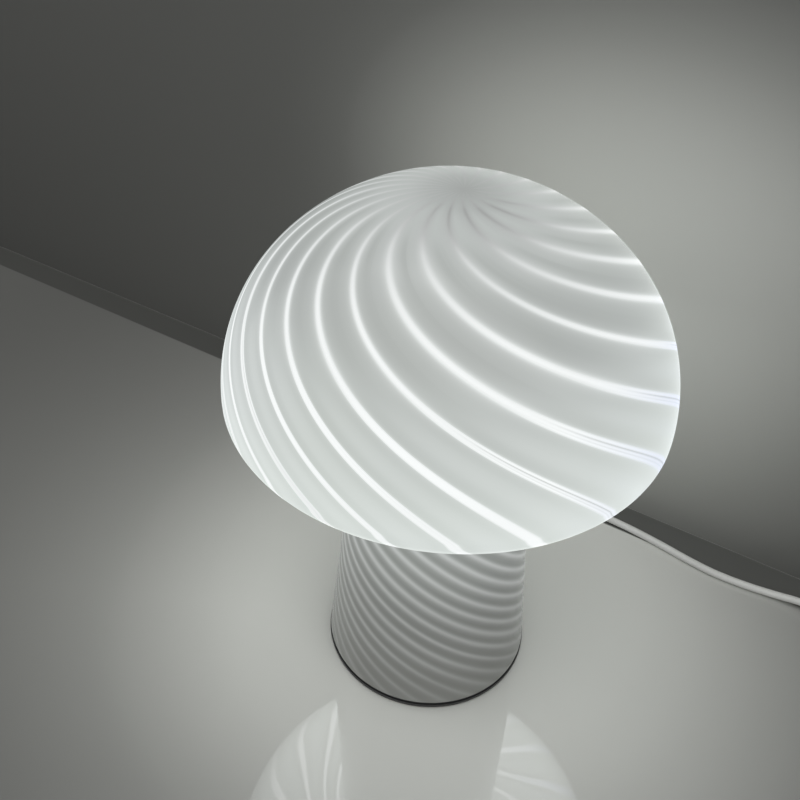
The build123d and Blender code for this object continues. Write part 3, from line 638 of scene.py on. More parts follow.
def glassGrid(values):
    # Rows follow the section from the crown down the outside, round the foot and up the inside.
    # Columns follow the stripes: each row finds the turn where the stripe's phase is the column's
    outer = stationsOf(values, 0.0, values["rowSpacing"])
    inner = stationsOf(values, values["wall"], values["innerSpacing"])
    rounding, bottom = values["footRounding"], values["footHeight"]
    arc = np.radians(np.linspace(0, 90, 5))[1:]
    footOuter = np.stack([outer[0][-1, 0] - rounding * (1 - np.cos(arc)),
                          bottom + rounding * (1 - np.sin(arc))], -1)
    footInner = np.stack([inner[0][-1, 0] + rounding * (1 - np.sin(arc[::-1])),
                          bottom + rounding * (1 - np.cos(arc[::-1]))], -1)
    foot = np.concatenate([footOuter, footInner])
    held = [np.full(len(foot), outside[-1]) for outside in outer[1:]]
    held[1] = foot[:, 1]
    points, capStation, stemStation, cap, along = (
        np.concatenate([outside, middle, inside[::-1]])
        for outside, middle, inside in zip(outer, [foot, *held], inner))
    isInside = np.arange(len(points)) > len(outer[0]) + len(footOuter)
    columns = values["stripes"] * values["columnsPerStripe"]
    phase = np.arange(columns) / values["columnsPerStripe"]
    perTurn = values["stripes"] / (2 * np.pi)
    turn = np.broadcast_to(phase[None] / perTurn, (len(points), columns)).copy()
    for _ in range(swirlValues["rounds"]):
        missing = phase[None] - turn * perTurn - swirlOf(
            capStation[:, None], stemStation[:, None], cap[:, None], turn, swirlValues)
        turn += swirlValues["pull"] * missing / perTurn
    # Ribs on the stem: the glass stands full at a stripe's middle and lies lower between
    fraction = np.abs((phase + 0.5) % 1 - 0.5)
    hollow = 1 - np.exp(-((fraction / values["ribWidth"]) ** 2))
    fade = (1 - cap) * np.clip((points[:, 1] - values["ribStart"]) / values["ribFade"], 0, 1)
    ahead = np.gradient(points, axis=0)
    normal = np.stack([-ahead[:, 1], ahead[:, 0]], -1)
    normal /= np.linalg.norm(normal, axis=1, keepdims=True)
    depth = values["ribDepth"] * np.where(isInside, 0, fade)[:, None] * hollow[None]
    radius, height = (points[:, index, None] - depth * normal[:, index, None]
                      for index in (0, 1))
    grid = np.stack([radius * np.cos(turn), radius * np.sin(turn), height], -1) / 1000
    uv = np.empty((len(points), columns + 1, 2))
    uv[..., 0] = np.arange(columns + 1) / values["columnsPerStripe"]
    uv[..., 1] = (along + isInside)[:, None]
    return grid, uv


def notchCutter(values):
    # Upright slot with a round top, through the wall at the back
    reach = values["notchRadius"]
    outline = arcPoints((0, values["notchHeight"]), reach, 0, 191.25, 17)
    outline = np.concatenate([[[reach, -5.0]], outline, [[-reach, -5.0]]])
    grid = np.stack([
        np.stack([outline[:, 0], np.full(len(outline), depth), outline[:, 1]], -1)
        for depth in (values["notchFrom"], values["notchTo"])
    ]) / 1000
    return surfaceMesh("notchCutter", grid, caps=True)


def blowGlass(values):
    grid, uv = glassGrid(values)
    glass = surfaceMesh("glassBody", grid, uv, caps=True, sharpAngle=values["sharpAngle"])
    cutter = notchCutter(values)
    cut = glass.modifiers.new("notch", "BOOLEAN")
    cut.operation, cut.object, cut.solver = "DIFFERENCE", cutter, "FAST"
    bpy.context.view_layer.update()
    dressed = glass.evaluated_get(bpy.context.evaluated_depsgraph_get())
    mesh = bpy.data.meshes.new_from_object(dressed)
    glass.modifiers.clear()
    glass.data = mesh
    bpy.data.objects.remove(cutter)
    mesh.set_sharp_from_angle(angle=np.radians(values["sharpAngle"]))
    return glass


glassBody = finished(blowGlass(glassValues), "glass", "opal_glass", "glass_body")
print("glass blown:", len(glassBody.data.polygons), "faces")

opalValues = {
    "band": (0.28, 0.284, 0.271),
    "bandOther": (0.27, 0.274, 0.262),
    "stripe": (0.44, 0.447, 0.437),
    "grainScale": 260.0,
    "roughness": (0.2, 0.23),
    "waveDepth": 0.00005,
    "waveStrength": 0.5,
    "capRadius": 0.09,
    "widthSpread": 0.3,
    "glow": 1.0,
    "bandTint": (0.925, 1.0, 0.955),
    "bandTintOther": (0.935, 0.99, 1.0),
    "lineTint": (0.965, 0.995, 1.0),
    # Painted reflection: bluish tint of the lines on the cap's right side
    "lineTintPaintedReflection": (0.73, 0.785, 0.92),
    # Painted light on the cap, where outside light falls on it: brighter to both sides, most to
    # the right and to the back, by the square of x, by x and by y
    "side": (0.09, 0.03, 0.03),
    # Painted sheen on the edges seen aslant, on the cap's shoulder and on the stem
    "paintedEdgeSheen": 0.13,
    "paintedEdgeSheenPower": 5.0,
    "underBoost": 1.5,
    # Painted shade on the threads near the crown
    "paintedThreadShade": 0.16,
    "innerDepth": 0.3,
    "innerDark": 0.2,
    # Light between the stripes and on them, down the section. On the stem, from 0.6 on, it is
    # partly glow from inside and partly painted light from the cap's underside
    "bandGlow": [(0.0, 0.24), (0.017, 0.27), (0.044, 0.315), (0.089, 0.38), (0.139, 0.32),
                 (0.194, 0.29), (0.25, 0.29), (0.306, 0.36), (0.361, 0.43), (0.417, 0.5),
                 (0.467, 0.58), (0.5, 0.61), (0.53, 0.52), (0.57, 0.5), (0.6, 0.4),
                 (0.66, 0.21), (0.763, 0.105), (0.813, 0.06), (0.863, 0.03), (0.913, 0.015),
                 (0.958, 0.0), (1.0, 0.0)],
    "lineGlow": [(0.0, 0.24), (0.017, 0.27), (0.044, 0.31), (0.089, 0.4), (0.139, 0.48),
                 (0.194, 0.58), (0.25, 0.67), (0.306, 0.71), (0.361, 0.75), (0.417, 0.78),
                 (0.467, 0.78), (0.5, 0.8), (0.53, 0.97), (0.57, 1.0), (0.6, 0.6),
                 (0.66, 0.36), (0.763, 0.22), (0.813, 0.145), (0.863, 0.09), (0.913, 0.055),
                 (0.958, 0.015), (1.0, 0.0)],
    "whiteness": [(0.0, 0.2), (0.1, 0.6), (0.2, 1.0), (0.7, 1.0), (0.86, 0.9), (0.95, 0.6),
                  (1.0, 0.4)],
    # Across a stripe, from one middle to the next: near the crown, on the shoulder, at the rim
    # and on the stem
    "softLine": [(0, 1), (0.06, 0.78), (0.125, 0.48), (0.19, 0.3), (0.28, 0.13), (0.4, 0.0),
                 (0.5, 0.06), (0.62, 0.17), (0.75, 0.26), (0.83, 0.4), (0.9, 0.62), (0.96, 0.9),
                 (1, 1)],
    "midLine": [(0, 1), (0.045, 0.9), (0.09, 0.55), (0.14, 0.24), (0.2, 0.09), (0.3, 0.03),
                (0.45, 0.0), (0.6, 0.04), (0.75, 0.1), (0.84, 0.2), (0.9, 0.42), (0.95, 0.8),
                (1, 1)],
    "crispLine": [(0, 1), (0.06, 0.97), (0.085, 0.7), (0.12, 0.12), (0.17, 0.0), (0.25, 0.02),
                  (0.45, 0.14), (0.6, 0.12), (0.8, 0.05), (0.87, 0.12), (0.915, 0.7),
                  (0.94, 0.97), (1, 1)],
    "stemLine": [(0, 1), (0.06, 0.9), (0.14, 0.6), (0.22, 0.28), (0.32, 0.06), (0.42, 0.0),
                 (0.55, 0.06), (0.68, 0.2), (0.8, 0.48), (0.9, 0.78), (1, 1)],
    # Fine line inside some of the stripes
    "innerLine": [(0, 0.1), (0.012, 0.6), (0.024, 1), (0.036, 0.6), (0.05, 0), (0.07, 0),
                  (0.5, 0), (0.93, 0), (0.95, 0), (0.966, 0.5), (0.98, 0.1), (1, 0.1)],
    # Where each of these counts, down the section
    "midShare": [(0, 0), (0.13, 0), (0.19, 0.8), (0.25, 1), (0.6, 1), (1, 1)],
    "crispShare": [(0, 0), (0.28, 0), (0.37, 1), (0.56, 1), (0.6, 0), (1, 0)],
    "stemShare": [(0, 0), (0.56, 0), (0.6, 1), (1, 1)],
    "innerShare": [(0, 0), (0.3, 0), (0.4, 1), (0.55, 1), (0.6, 0), (1, 0)],
    "paintedThreadShadeShare": [(0, 0), (0.02, 0.15), (0.045, 0.5), (0.08, 1), (0.1, 0.9), (0.13, 0.3),
                  (0.155, 0), (1, 0)],
    "paintedSheenShare": [(0, 0), (0.25, 0), (0.4, 1), (0.54, 1), (0.58, 0), (0.62, 0.5), (1, 0.6)],
    "capShare": [(0, 1), (0.54, 1), (0.58, 0), (1, 0)],
    "underShare": [(0, 0), (0.5, 0), (0.53, 1), (0.58, 1), (0.62, 0), (1, 0)],
}


def makeOpal(values, stripes):
    # White opal glass, lit from inside, with painted light, painted shade, painted sheen and a
    # painted reflection laid into its glow and tint: the stripes are threads of denser white. The
    # swirl comes from the piece's own map, across a stripe in x and down the section in y
    material, tree, shader, place = startMaterial("opalGlass")
    swirl = partsOf(tree, newNode(tree, "ShaderNodeUVMap", {"uv_map": "surface"}).outputs[0])
    down = compute(tree, "FRACT", swirl["Y"])
    share = {key: curveOf(tree, down, values[key]) for key in values
             if key.endswith("Share") or key in ("bandGlow", "lineGlow", "whiteness")}
    # Each stripe has its own number, from which its width and its fine inner line come
    number = compute(tree, "FLOOR", compute(tree, "ADD", swirl["X"], 0.5))
    chance = newNode(tree, "ShaderNodeTexWhiteNoise", {"noise_dimensions": "1D"},
                     W=compute(tree, "MODULO", number, float(stripes)))
    chances = newNode(tree, "ShaderNodeSeparateColor", Color=chance.outputs["Color"]).outputs
    half = values["widthSpread"] / 2
    width = spread(tree, chances[0], 0.0, 1.0, 1 - half, 1 + half)
    offset = compute(tree, "DIVIDE", compute(tree, "SUBTRACT", swirl["X"], number), width)
    offset = compute(tree, "MAXIMUM", compute(tree, "MINIMUM", offset, 0.5), -0.5)
    fraction = compute(tree, "FRACT", offset)
    line = curveOf(tree, fraction, values["softLine"])
    for kind in ("mid", "crisp", "stem"):
        line = mix(tree, share[kind + "Share"], line,
                   curveOf(tree, fraction, values[kind + "Line"]), "FLOAT")
    inner = compute(tree, "MULTIPLY", curveOf(tree, fraction, values["innerLine"]),
                    share["innerShare"], spread(tree, chances[1], 0.25, 0.6))
    inner = compute(tree, "MAXIMUM", inner, 0.0)
    line = compute(tree, "SUBTRACT", line,
                   compute(tree, "MULTIPLY", inner, values["innerDepth"]))
    grain = groupOf(tree, grainGroup, Vector=place, Scale=values["grainScale"])
    band = mix(tree, grain["Tone"], values["band"], values["bandOther"])
    white = compute(tree, "MULTIPLY", line, share["whiteness"])
    glow = mix(tree, line, share["bandGlow"], share["lineGlow"], "FLOAT")
    parts = partsOf(tree, place)
    across, deep = (compute(tree, "DIVIDE", parts[axis], values["capRadius"]) for axis in "XY")
    # Painted light: the cap brighter to its sides, to the right and to the back
    square, byX, byY = values["side"]
    lean = compute(tree, "ADD", compute(tree, "MULTIPLY", across, byX),
                   compute(tree, "MULTIPLY", deep, byY),
                   compute(tree, "MULTIPLY", across, across, square))
    # Painted sheen: the edge seen aslant is brighter. The underside throws more light than it
    # shows
    facing = newNode(tree, "ShaderNodeLayerWeight", Blend=0.5).outputs["Facing"]
    paintedEdgeSheen = compute(tree, "MULTIPLY", compute(tree, "POWER", facing, values["paintedEdgeSheenPower"]),
                   values["paintedEdgeSheen"], share["paintedSheenShare"])
    glow = compute(tree, "ADD", glow, compute(tree, "MULTIPLY", lean, share["capShare"]), paintedEdgeSheen)
    # Painted shade on the threads near the crown, most of all in front and to the right
    distance = distanceFrom(tree, across, deep)
    front = spread(tree, compute(tree, "DIVIDE", deep, distance), 0.1, -0.6, 0.25, 1.0)
    left = spread(tree, compute(tree, "DIVIDE", across, distance), -0.35, -0.85, 1.0, 0.3)
    dark = compute(tree, "MULTIPLY", front, left, share["paintedThreadShadeShare"], line,
                   values["paintedThreadShade"])
    glow = compute(tree, "SUBTRACT", glow, dark,
                   compute(tree, "MULTIPLY", inner, values["innerDark"]))
    seen = tree.nodes.new("ShaderNodeLightPath").outputs["Is Camera Ray"]
    boost = compute(tree, "MULTIPLY", compute(tree, "SUBTRACT", 1.0, seen),
                    values["underBoost"], share["underShare"])
    glow = compute(tree, "MULTIPLY", glow, compute(tree, "ADD", boost, 1.0))
    # Painted reflection: the lines turn bluish towards the right
    right = compute(tree, "MULTIPLY", spread(tree, across, 0.4, 0.95), share["paintedSheenShare"])
    lineTint = mix(tree, right, values["lineTint"], values["lineTintPaintedReflection"])
    bandTint = mix(tree, grain["Tone"], values["bandTint"], values["bandTintOther"])
    tint = mix(tree, line, bandTint, lineTint)
    fill(tree, shader, Base_Color=mix(tree, white, band, values["stripe"]),
         Emission_Color=vectorSum(tree, "SCALE", tint, glow), Emission_Strength=values["glow"],
         Roughness=rubbedRoughness(tree, grain, *values["roughness"]),
         Normal=bumped(tree, grain["Tone"], values["waveDepth"],
                       strength=values["waveStrength"]))
    return material


glassBody.data.materials.clear()
glassBody.data.materials.append(makeOpal(opalValues, glassValues["stripes"]))

# Table, wall and lights
stageValues = {
    "reach": 3.0,
    "wallTop": 2.5,
    "floorColour": (0.735, 0.738, 0.706),
    "floorOther": (0.71295, 0.71586, 0.68482),
    "floorPaintedLight": (0.86, 0.865, 0.825),
    "floorGrain": 120.0,
    "floorRoughness": (0.02, 0.035),
    "floorIor": 1.8,
    "floorLevel": -0.0001,
    "wallColour": (0.8, 0.808, 0.77),
    "wallOther": (0.768, 0.77568, 0.7392),
    # Painted shade: colour at the wall's foot
    "wallFootShade": (0.6, 0.605, 0.57),
    "wallGrain": 90.0,
    "wallRoughness": 0.8,
    # Height over which the wall's painted shade fades out
    "wallShadeRise": 0.28,
    "wallPoint": (0.0996, 0.0807),
    "wallEnd": (0.1975, 0.033),
    "wallBack": 0.022,
    # Share of the floor's colour by distance from the lamp's pool of light
    "poolCentre": (0.015, 0.03),
    "poolReach": 0.5,
    "pool": [(0, 1), (0.17, 1), (0.22, 0.93), (0.28, 0.77), (0.34, 0.6), (0.4, 0.46), (0.6, 0.29),
             (1, 0.24)],
    # The same on the wall, about a place along it and above the table. Heights count for more
    "wallPool": (-0.03, 0.175),
    "wallReach": 0.25,
    "wallStretch": (1.5, 0.75),
    "wallShare": [(0, 1), (0.18, 0.94), (0.3, 0.85), (0.416, 0.7), (0.54, 0.5), (0.64, 0.36),
                  (0.7, 0.29), (1, 0.22)],
    # The top isn't quite flat in front of the lamp: lean of its normal at one place, and how the
    # lean changes per metre within a stretch of it
    "dipPlace": (0.0, -0.06),
    "dipLean": (-0.0132, 0.0595),
    "dipBend": -0.668,
    "dipStretch": (0.09, 0.07),
    "dipReach": (0.17, 0.3),
    # Painted shade of the gap behind the table's edge: a dark strip on the floor, where it is
    # seen
    "gapShadeColour": (0.11, 0.111, 0.105),
    "gapEnd": 0.215,
}


def edgeLine(values):
    # The table's back edge: a point on it, its direction, and the direction away from the lamp
    start, end = np.array(values["wallPoint"]), np.array(values["wallEnd"])
    alongWall = unit(end - start)
    return start, alongWall, np.array([-alongWall[1], alongWall[0]])


def dotWith(tree, parts, direction, start):
    # How far a place lies from the start in one level direction
    whole = compute(tree, "ADD", compute(tree, "MULTIPLY", parts["X"], direction[0]),
                    compute(tree, "MULTIPLY", parts["Y"], direction[1]))
    return compute(tree, "SUBTRACT", whole, float(np.dot(start, direction)))


def showFrontOnly(tree, shader):
    # Floor and wall are clear from behind, so the lamp can be seen from there
    both = tree.nodes.new("ShaderNodeMixShader")
    clear = tree.nodes.new("ShaderNodeBsdfTransparent")
    side = tree.nodes.new("ShaderNodeNewGeometry").outputs["Backfacing"]
    for socket, value in zip(both.inputs, (side, shader.outputs[0], clear.outputs[0])):
        feed(tree, socket, value)
    output = next(node for node in tree.nodes if node.type == "OUTPUT_MATERIAL")
    fill(tree, output, Surface=both.outputs[0])


def dippedNormal(tree, parts, values):
    # Upright normal that leans with the distance from one place, and stands again further off
    distance = distanceFrom(tree, parts["X"], parts["Y"])
    near = spread(tree, distance, *values["dipReach"], 1.0, 0.0, smooth=True)
    slopes = []
    for axis, middle, lean, stretch in zip("XY", values["dipPlace"], values["dipLean"],
                                           values["dipStretch"]):
        away = spread(tree, parts[axis], middle - stretch, middle + stretch, -stretch, stretch)
        slope = compute(tree, "ADD", compute(tree, "MULTIPLY", away, values["dipBend"]), lean)
        slopes.append(compute(tree, "MULTIPLY", slope, near))
    leaning = newNode(tree, "ShaderNodeCombineXYZ", X=slopes[0], Y=slopes[1], Z=1.0)
    return vectorSum(tree, "NORMALIZE", leaning.outputs[0])


def makeFloorMaterial(values):
    material, tree, shader, place = startMaterial("tableTop")
    grain = groupOf(tree, grainGroup, Vector=place, Scale=values["floorGrain"])
    parts = partsOf(tree, place)
    plain = mix(tree, grain["Tone"], values["floorColour"], values["floorOther"])
    # Painted light: brighter to the left of the lamp, away from the front
    aside = compute(tree, "MULTIPLY", spread(tree, parts["X"], -0.02, -0.09),
                    spread(tree, parts["Y"], -0.1, 0.0))
    plain = mix(tree, aside, plain, values["floorPaintedLight"])
    distance = distanceFrom(tree, *(compute(tree, "SUBTRACT", parts[axis], centre)
                                    for axis, centre in zip("XY", values["poolCentre"])))
    pool = curveOf(tree, compute(tree, "DIVIDE", distance, values["poolReach"]), values["pool"])
    plain = mix(tree, pool, (0.0, 0.0, 0.0), plain)
    start, _, out = edgeLine(values)
    behind = dotWith(tree, parts, out, start)
    # Painted shade: dark strip on the floor behind the table's edge
    back, end = values["wallBack"], values["gapEnd"]
    gap = compute(tree, "MULTIPLY", spread(tree, behind, 0.0015, 0.0025),
                  spread(tree, behind, back + 0.002, back + 0.001),
                  spread(tree, parts["X"], end, end - 0.005))
    fill(tree, shader, Base_Color=mix(tree, gap, plain, values["gapShadeColour"]),
         Roughness=rubbedRoughness(tree, grain, *values["floorRoughness"]),
         IOR=values["floorIor"], Normal=dippedNormal(tree, parts, values))
    showFrontOnly(tree, shader)
    return material


def makeWallMaterial(values):
    material, tree, shader, place = startMaterial("paintedWall")
    grain = groupOf(tree, grainGroup, Vector=place, Scale=values["wallGrain"])
    parts = partsOf(tree, place)
    plain = mix(tree, grain["Tone"], values["wallColour"], values["wallOther"])
    # Painted shade: the wall darker towards its foot
    plain = mix(tree, spread(tree, parts["Z"], 0.0, values["wallShadeRise"]), values["wallFootShade"],
                plain)
    start, alongWall, _ = edgeLine(values)
    middle, height = values["wallPool"]
    aside = compute(tree, "SUBTRACT", dotWith(tree, parts, alongWall, start), middle)
    above = compute(tree, "SUBTRACT", parts["Z"], height)
    up, below = values["wallStretch"]
    above = compute(tree, "MAXIMUM", compute(tree, "MULTIPLY", above, up),
                    compute(tree, "MULTIPLY", above, -below))
    distance = compute(tree, "DIVIDE", distanceFrom(tree, aside, above), values["wallReach"])
    pool = curveOf(tree, distance, values["wallShare"])
    fill(tree, shader, Base_Color=mix(tree, pool, (0.0, 0.0, 0.0), plain),
         Roughness=values["wallRoughness"])
    showFrontOnly(tree, shader)
    return material


def flatPiece(name, corners, material):
    mesh = bpy.data.meshes.new(name)
    mesh.from_pydata([tuple(corner) for corner in corners], [], [tuple(range(len(corners)))])
    mesh.materials.append(material)
    newPiece(name, mesh)


def buildStage(values):
    reach, level, top = values["reach"], values["floorLevel"], values["wallTop"]
    start, alongWall, out = edgeLine(values)
    foot = start + out * values["wallBack"]
    left, right = foot - reach * alongWall, foot + reach * alongWall
    flatPiece("floor", [(-reach, -reach, level), (reach, -reach, level), (reach, reach, level),
                        (-reach, reach, level)], makeFloorMaterial(values))
    flatPiece("wall", [(*left, 0), (*right, 0), (*right, top), (*left, top)],
              makeWallMaterial(values))


lightValues = {
    "room": (0.38, 0.385, 0.378),
    "ceiling": (1.1, 1.1, 1.09),
    "rise": (0.3, 1.0),
    "keyPlace": (1.6, -0.9, 1.9),
    "keyAim": (0.0, 0.0, 0.05),
    "keySize": 2.5,
    "keyPower": 8.0,
    "keyColour": (1.0, 0.995, 0.985),
}


def lightScene(values):
    # A grey room under a bright ceiling, with one large soft lamp in front
    world = bpy.data.worlds.new("room")
    world.use_nodes = True
    tree = world.node_tree
    direction = tree.nodes.new("ShaderNodeTexCoord").outputs["Generated"]
    height = spread(tree, partsOf(tree, direction)["Z"], *values["rise"], smooth=True)
    fill(tree, tree.nodes["Background"],
         Color=mix(tree, height, values["room"], values["ceiling"]))
    bpy.context.scene.world = world
    data = bpy.data.lights.new("keyLight", "AREA")
    data.size, data.energy, data.color = (values[key] for key in
                                          ("keySize", "keyPower", "keyColour"))
    light = newPiece("keyLight", data)
    back = unit(np.array(values["keyPlace"]) - np.array(values["keyAim"]))
    right = unit(np.cross((0, 0, 1), back))
    placeBy(light, right, np.cross(back, right), back, values["keyPlace"])
    light.visible_glossy = False
    bpy.context.scene.view_settings.view_transform = "Standard"


buildStage(stageValues)
lightScene(lightValues)
print("stage and lights set")

# Finishes: two tones, worn edges, dust, roughness from and to, and the grain's scale and depth
finishValues = {
    "moulded": {
        "colour": (0.014, 0.014, 0.015), "other": (0.022, 0.022, 0.023),
        "worn": (0.04, 0.04, 0.041), "dust": 0.04, "roughness": (0.38, 0.52),
        "grain": (3200.0, 0.00004),
    },
    "footPad": {
        "colour": (0.035, 0.035, 0.036), "other": (0.055, 0.055, 0.056),
        "roughness": (0.85, 0.95), "grain": (4200.0, 0.00008),
        "cells": (1900.0, (0.015, 0.015, 0.015), 0.00012),
    },
    "rubber": {
        "colour": (0.03, 0.03, 0.031), "other": (0.045, 0.045, 0.046), "dust": 0.1,
        "roughness": (0.55, 0.7), "grain": (2600.0, 0.00003),
    },
    "castIron": {
        "colour": (0.09, 0.09, 0.095), "other": (0.15, 0.145, 0.14),
        "worn": (0.35, 0.34, 0.33), "edge": 0.0006, "roughness": (0.5, 0.68),
        "metallic": 0.75, "grain": (900.0, 0.0002),
        "cells": (1100.0, (0.05, 0.045, 0.042), 0.00015),
    },
    "platedSteel": {
        "colour": (0.58, 0.575, 0.55), "other": (0.5, 0.51, 0.52), "worn": (0.75, 0.75, 0.74),
        "edge": 0.0002, "roughness": (0.2, 0.34), "metallic": 1.0,
        "grain": (1500.0, 0.000015), "stretch": (1.0, 1.0, 6.0),
    },
    "plugSteel": {
        "colour": (0.6, 0.595, 0.575), "other": (0.53, 0.535, 0.54), "worn": (0.75, 0.75, 0.74),
        "edge": 0.00015, "roughness": (0.22, 0.34), "metallic": 1.0,
        # Painted shade: the windows are near black for the shade inside them
        "grain": (1500.0, 0.00001), "open": ((0.01, 0.01, 0.01), 0.0002),
        "windows": {"origin": (0.239312, -0.058796, 0.0), "heading": 153.0,
                    "along": (0.0427, 0.00125), "across": (0.0027, 0.001), "blur": 0.00006},
    },
    "springSteel": {
        "colour": (0.42, 0.41, 0.4), "other": (0.32, 0.34, 0.4), "worn": (0.62, 0.62, 0.6),
        "roughness": (0.24, 0.38), "metallic": 1.0, "grain": (2400.0, 0.00002),
        "stretch": (1.0, 1.0, 0.08),
    },
    "aluminium": {
        "colour": (0.72, 0.73, 0.74), "other": (0.64, 0.65, 0.67), "worn": (0.85, 0.85, 0.86),
        "roughness": (0.32, 0.45), "metallic": 1.0, "grain": (2600.0, 0.00003),
        "stretch": (1.0, 1.0, 0.1),
    },
    "ledCool": {
        "colour": (0.86, 0.93, 1.0), "other": (0.8, 0.9, 1.0), "roughness": (0.3, 0.4),
        "grain": (900.0, 0.00002), "glow": 6.0,
    },
    "ledWarm": {
        "colour": (1.0, 0.72, 0.2), "other": (0.95, 0.66, 0.16), "roughness": (0.3, 0.4),
        "grain": (900.0, 0.00002), "glow": 1.5,
    },
    "resistor": {
        "colour": (0.03, 0.03, 0.032), "other": (0.06, 0.06, 0.062), "worn": (0.5, 0.49, 0.47),
        "edge": 0.0003, "roughness": (0.3, 0.45), "grain": (3000.0, 0.00002),
    },
    "cordWhite": {
        "colour": (0.72, 0.72, 0.7), "other": (0.66, 0.66, 0.64), "dust": 0.1,
        "roughness": (0.42, 0.58), "grain": (2200.0, 0.00003),
    },
    "whitePlastic": {
        "colour": (0.76, 0.76, 0.745), "other": (0.71, 0.71, 0.695), "worn": (0.8, 0.8, 0.79),
        "dust": 0.1, "roughness": (0.3, 0.45), "grain": (3000.0, 0.00003),
    },
    "keyGrey": {
        "colour": (0.34, 0.345, 0.35), "other": (0.3, 0.305, 0.31), "worn": (0.45, 0.45, 0.455),
        "roughness": (0.45, 0.6), "grain": (3000.0, 0.00003),
    },
    "contactGold": {
        "colour": (0.83, 0.6, 0.24), "other": (0.78, 0.56, 0.24), "roughness": (0.18, 0.3),
        "metallic": 1.0, "grain": (3000.0, 0.00001),
    },
    "tongueWhite": {
        "colour": (0.7, 0.7, 0.69), "other": (0.64, 0.64, 0.63), "roughness": (0.4, 0.55),
        "grain": (3500.0, 0.00002),
    },
    "tieCloth": {
        "colour": (0.02, 0.02, 0.021), "other": (0.034, 0.034, 0.035),
        "roughness": (0.8, 0.95), "grain": (5200.0, 0.0002),
        "cells": (2600.0, (0.008, 0.008, 0.008), 0.0002),
    },
}
finishValues["shellPlastic"] = {
    **finishValues["whitePlastic"], "seam": {"height": 0.005, "halfWidth": 0.0001},
    "open": ((0.12, 0.12, 0.115), 0.0002),
}
for name, colour, other in (("wireRed", (0.55, 0.03, 0.02), (0.45, 0.02, 0.015)),
                            ("wireWhite", (0.8, 0.8, 0.79), (0.74, 0.74, 0.72)),
                            ("wireBlack", (0.02, 0.02, 0.02), (0.03, 0.03, 0.03))):
    finishValues[name] = {"colour": colour, "other": other, "roughness": (0.35, 0.5),
                          "grain": (2500.0, 0.00001)}

boardValues = {
    "boardWhite": {
        "node": "led_board", "round": True, "pitch": 0.0046, "mask": (0.82, 0.82, 0.8),
        "otherMask": (0.78, 0.78, 0.76), "gap": (0.7, 0.7, 0.69),
    },
    "boardGreen": {
        "node": "control_board", "round": False, "pitch": 0.0016, "mask": (0.03, 0.2, 0.08),
        "otherMask": (0.025, 0.17, 0.07), "gap": (0.012, 0.09, 0.04),
    },
}


def makeBoard(name, values):
    # Solder mask over copper: traces run round the middle, or across at a slant
    material, tree, shader, place = startMaterial(name)
    low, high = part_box(values["node"])
    centred = newNode(tree, "ShaderNodeMapping", {"vector_type": "POINT"}, Vector=place,
                      Location=tuple(-(a + b) / 2 for a, b in zip(low, high))).outputs[0]
    parts = partsOf(tree, centred)
    if values["round"]:
        way = distanceFrom(tree, parts["X"], parts["Y"])
    else:
        way = compute(tree, "ADD", parts["X"], parts["Y"])
    wave = compute(tree, "SINE", compute(tree, "MULTIPLY", way, 2 * np.pi / values["pitch"]))
    trace = spread(tree, wave, -0.25, 0.05, smooth=True)
    grain = groupOf(tree, grainGroup, Vector=place, Scale=2500.0)
    mask = mix(tree, grain["Tone"], values["mask"], values["otherMask"])
    fill(tree, shader, Base_Color=mix(tree, trace, values["gap"], mask),
         Roughness=rubbedRoughness(tree, grain, 0.25, 0.4),
         Normal=bumped(tree, trace, 0.00004))
    return material


finishes = {name: makeFinish(name, values) for name, values in finishValues.items()}
finishes.update({name: makeBoard(name, values) for name, values in boardValues.items()})

nodeFinishes = {
    "moulded": ["base_dish"],
    "footPad": ["foot_pad"],
    "rubber": ["glass_gasket"],
    "castIron": ["base_weight"],
    "platedSteel": ["base_lid", "lid_screws", "spring_rivets", "lamp_post", "lower_nut",
                    "post_washer", "upper_nut", "lock_nut", "board_screws", "cord_saddle",
                    "saddle_screws", "control_screws"],
    "plugSteel": ["plug_shell"],
    "springSteel": ["leaf_spring_1", "leaf_spring_2", "leaf_spring_3"],
    "aluminium": ["heat_sink"],
    "boardWhite": ["led_board"],
    "boardGreen": ["control_board"],
    "ledCool": ["cool_leds"],
    "ledWarm": ["warm_leds"],
    "resistor": ["board_resistors", "tact_switches"],
    "shellPlastic": ["control_lower_shell", "control_upper_shell"],
    "tongueWhite": ["plug_tongue"],
    "contactGold": ["plug_contacts"],
}


def paint(piece, finish):
    piece.data.materials.clear()
    piece.data.materials.append(finishes[finish])
    return piece


for finish, names in nodeFinishes.items():
    for name in names:
        paint(nodes[name], finish)
for cord in (powerCord, coilCord, stubCord):
    paint(cord, "cordWhite")
for name, finish in zip(innerWires, ("wireRed", "wireWhite", "wireBlack")):
    paint(innerWires[name], finish)
print("finishes set:", len(finishes))

# Strain relief and the control's sleeves, in millimetres
reliefValues = {
    "origin": (0.0, 0.0, 6.9), "flangeStart": 40.22, "flangeEnd": 42.42, "flangeRadius": 4.2,
    "neckRadius": 3.0, "bodyStart": 45.63, "bodyRadius": 3.4, "step": 49.2, "collarEnd": 51.0,
    "collarRadius": 4.1, "rootRadius": 3.6, "tipRadius": 2.7, "tip": 68.0, "bevel": 0.25,
    "grooves": 6, "grooveDepth": 0.55, "grooveStart": 52.4, "grooveEnd": 66.2,
}
sleeveValues = {
    "tipRadius": 2.6, "rootRadius": 3.4, "length": 7.95, "neckRadius": 2.4, "neckEnd": 9.55,
    "flangeEnd": 10.95, "grooves": 3, "grooveDepth": 0.45, "grooveStart": 1.5, "grooveEnd": 6.6,
    "bevel": 0.25, "level": 5.0, "heading": -27.0, "inlet": (206.0, 30.0),
    "outlet": (270.147, -2.688),
}
